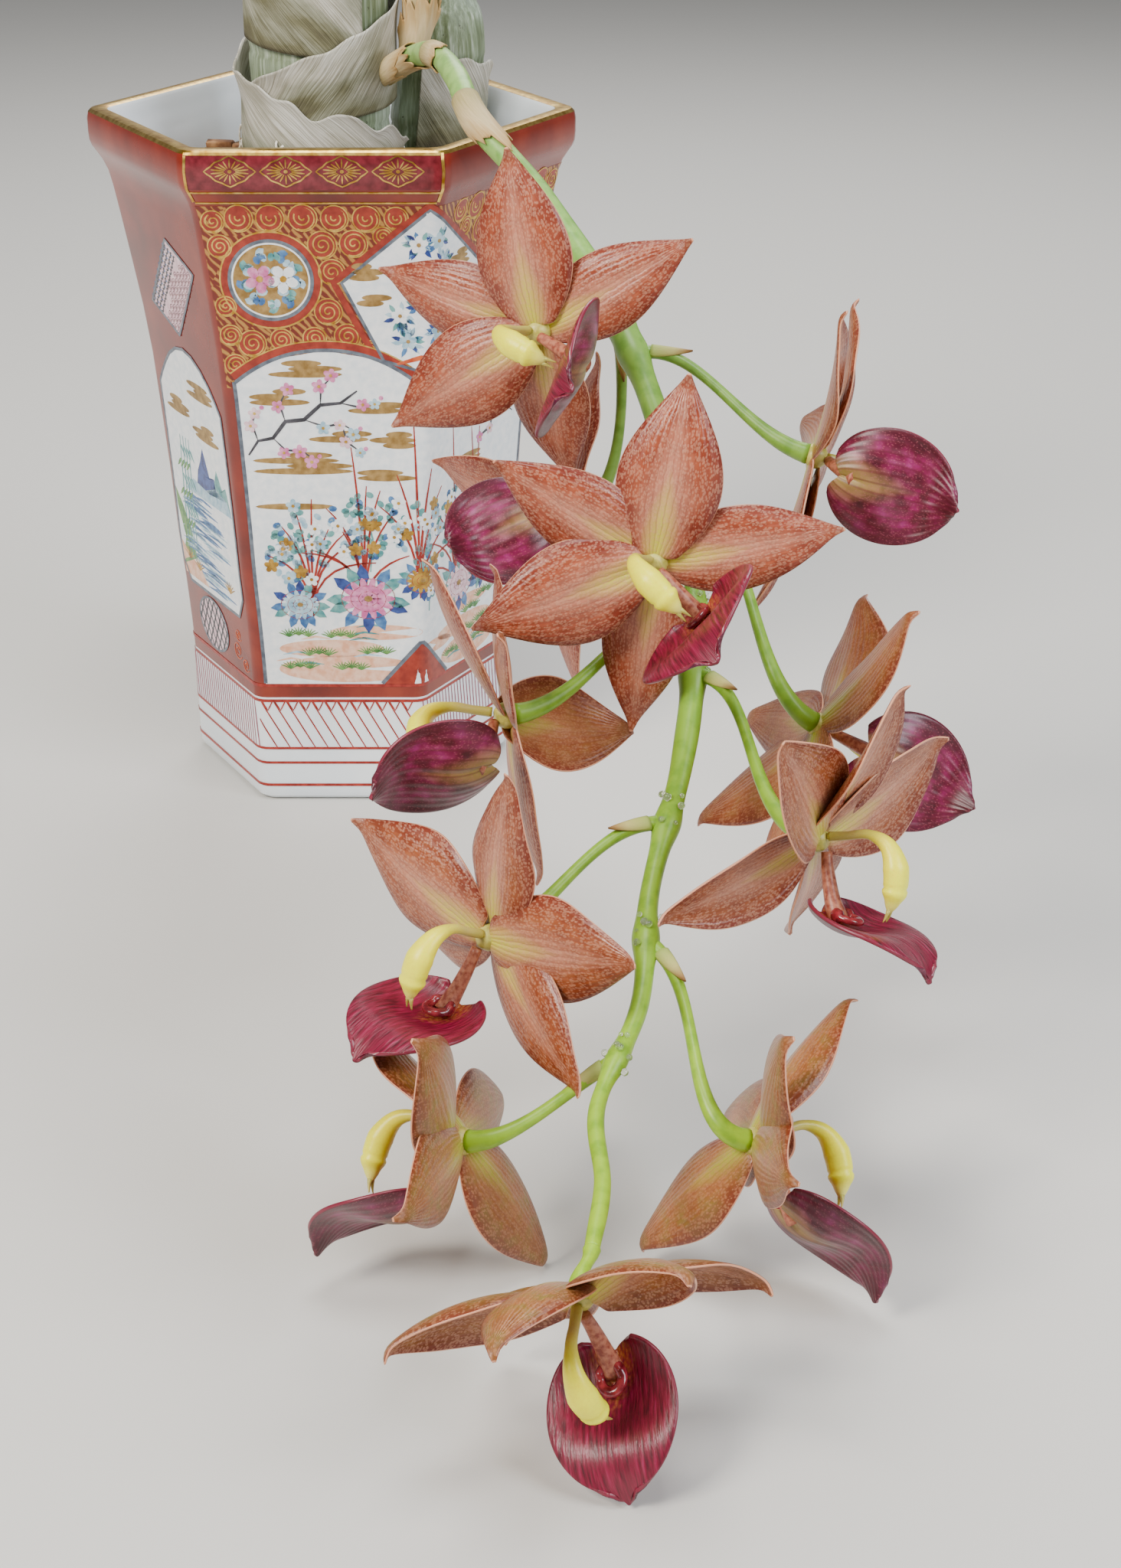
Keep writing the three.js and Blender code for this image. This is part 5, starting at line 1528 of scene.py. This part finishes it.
# Glossy inner face: crimson magenta with long streaks, orange by the callus
inner = Skin("glossy_crimson_lip_face", Roughness=0.36, Specular_IOR_Level=0.5, Coat_Weight=0.12,
             Coat_Roughness=0.3)
inner_share = inner.split(inner.flat("shares"))
inner_streak = inner.noise(inner.stretch(inner.flat(), 1.1, 0.14, 1), 1.3, 4)
inner_tone = inner.ramp(inner_streak, (0.3, "#400316"), (0.45, "#680624"), (0.6, "#820b34"),
                        (0.78, "#9a2854"))
inner_distance = inner.math("ABSOLUTE", inner.math("SUBTRACT", inner_share["X"], 0.5))
inner_reach = inner.math("MULTIPLY_ADD", inner_distance, 1.5, inner_share["Y"])
inner_orange = inner.ramp(inner.cells(inner.flat(), 1.3), (0.1, "#e8a048"), (0.5, "#c8602c"),
                          (0.8, "#98203a"))
inner_colour = inner.mix(inner.span(inner_reach, 0.16, 0.5, 0.95, 0), inner_tone, inner_orange)
lip_inner = inner.finish(inner_colour, inner_streak, 0.6, 0.0006)

# Outer face: satin, maroon at the rim, magenta at its shoulders and olive gold along the groove
outer = Skin("satin_maroon_lip_back", Roughness=0.36, Specular_IOR_Level=0.5, Coat_Weight=0.12,
             Coat_Roughness=0.3)
outer_share = outer.split(outer.flat("shares"))
outer_across = outer.math("SUBTRACT", outer_share["X"], 0.5)
outer_distance = outer.math("ABSOLUTE", outer_across)
outer_clouds = outer.noise(outer.flat(), 0.2, 3)
outer_colour = outer.ramp(outer_clouds, (0.32, "#3a0414"), (0.45, "#5c0626"), (0.57, "#7c1044"),
                          (0.72, "#962468"))
outer_reach = outer.math("MULTIPLY_ADD", outer_distance, 1.9, outer_share["Y"])
outer_gold = outer.span(outer.math("MULTIPLY_ADD", outer_clouds, -0.5, outer_reach), -0.1, 0.42, 0.9, 0)
outer_colour = outer.mix(outer_gold, outer_colour, "#a08840")
outer_edge = outer.math("MAXIMUM", outer.math("MULTIPLY", outer_share["Y"], 0.42), outer_distance)
outer_colour = outer.mix(outer.span(outer_edge, 0.3, 0.47, 0, 0.85), outer_colour, "#48081c")
outer_speck = outer.span(outer.cells(outer.stretch(outer.flat(), 1.4, 0.9, 1), 1.7), 0.14, 0.4, 0.32, 0)
outer_colour = outer.mix(outer_speck, outer_colour, "#bc6470")
outer_vein = outer.math("SINE", outer.math("MULTIPLY", outer_across, 70))
outer_colour = outer.mix(outer.span(outer_vein, 0.5, 1, 0, 0.5), outer_colour, "#55101f")
lip_outer = outer.finish(outer_colour, outer_vein, 0.2, 0.0003)
lip_rim = Skin("dark_lip_rim", Roughness=0.3, Base_Color=tint("#7c2438")).material

# Claw, callus and boss: brownish pink flesh, a dark shiny red cup and yellow-green flesh
claw_skin = grained("brownish_pink_claw", 900, 3, [(0.35, "#8a3e30"), (0.6, "#b97458")],
                    Roughness=0.4, Subsurface_Weight=0.1, Subsurface_Scale=0.002)
callus_skin = grained("glossy_dark_red_callus", 500, 3, [(0.35, "#5c0d18"), (0.65, "#a2323a")],
                      Roughness=0.16, Specular_IOR_Level=0.6)
boss_skin = grained("fleshy_yellow_green_boss", 600, 3, [(0.35, "#a8a03c"), (0.6, "#ccc264")],
                    Roughness=0.4, Subsurface_Weight=0.1, Subsurface_Scale=0.002)


def lip_piece(name, axes, factor, hang):
    centre, forward, upward, across = axes
    shell = sheet(LIP_COLUMNS, LIP_ROWS)
    shell.data.uv_layers.new(name="shares")
    places = {}
    for vertex in shell.data.vertices:
        s, t = vertex.co.x * 2, 0.5 + 0.5 * math.sin(math.pi * vertex.co.y)
        vertex.co = above_floor(lip_point(axes, factor, hang, t, s)) * MM
        places[vertex.index] = ((LIP["half"] * factor * lip_outline(t) * s, LIP["length"] * t),
                                (s / 2 + 0.5, t))
    two_layers(shell, places)
    face_towards(shell, upward)
    fleshy(shell, (lip_inner, lip_outer, lip_rim), LIP_THICK)
    claw = dress(tube("claw", bloom_run(axes, CLAW_LINE, 16), lambda t: listed(CLAW_RADII, t), 14),
                 claw_skin)
    # The callus: a ring pressed into an open cup at the foot of the lip
    seat = centre + forward * 12.2 + upward * (LIP["floor"] + 1.4)
    alone()
    bpy.ops.mesh.primitive_torus_add(major_segments=28, minor_segments=12, major_radius=2.5 * MM,
                                     minor_radius=1.15 * MM)
    cup = bpy.context.object
    turn = Matrix((across, forward, upward)).transposed()
    for vertex in cup.data.vertices:
        flared = Vector((vertex.co.x, vertex.co.y * 1.15, vertex.co.z * (1.5 if vertex.co.y < 0 else 0.8)))
        vertex.co = turn @ flared + seat * MM
    settle(cup)
    return join(name, [shell, claw, dress(cup, callus_skin)])


def boss_radius(t):
    return 3.3 * math.sqrt(max(0.05, math.sin(math.pi * (0.12 + 0.8 * t))))


for number, bloom in enumerate(BLOOMS):
    label = f"bloom_{number + 1:02d}"
    axes = bloom_axes(bloom)
    chance = random.Random(100 + number)
    parts = []
    for order, pose in enumerate(bloom[6]):
        size, layer = (PETAL, PETAL_LAYER) if order in (1, 2) else (SEPAL, SEPAL_LAYER)
        parts.append(tepal_mesh(axes, size, pose, layer, chance, BRONZE[number], CUPS[number],
                                math.radians(BENDS[number])))
    boss_run = [axes[0] + axes[1] * a for a in (-3.6, -3.2, -2.4, -1.2, 0, 0.9, 1.5, 1.8)]
    parts.append(dress(tube("boss", boss_run, boss_radius, 18), boss_skin))
    enter(join(label + "_tepals_veined", parts), label + "_tepals")
    enter(column_piece(label + "_column_waxy", axes), label + "_column")
    enter(lip_piece(label + "_lip_glossy", axes, bloom[5], math.radians(bloom[7])), label + "_lip")
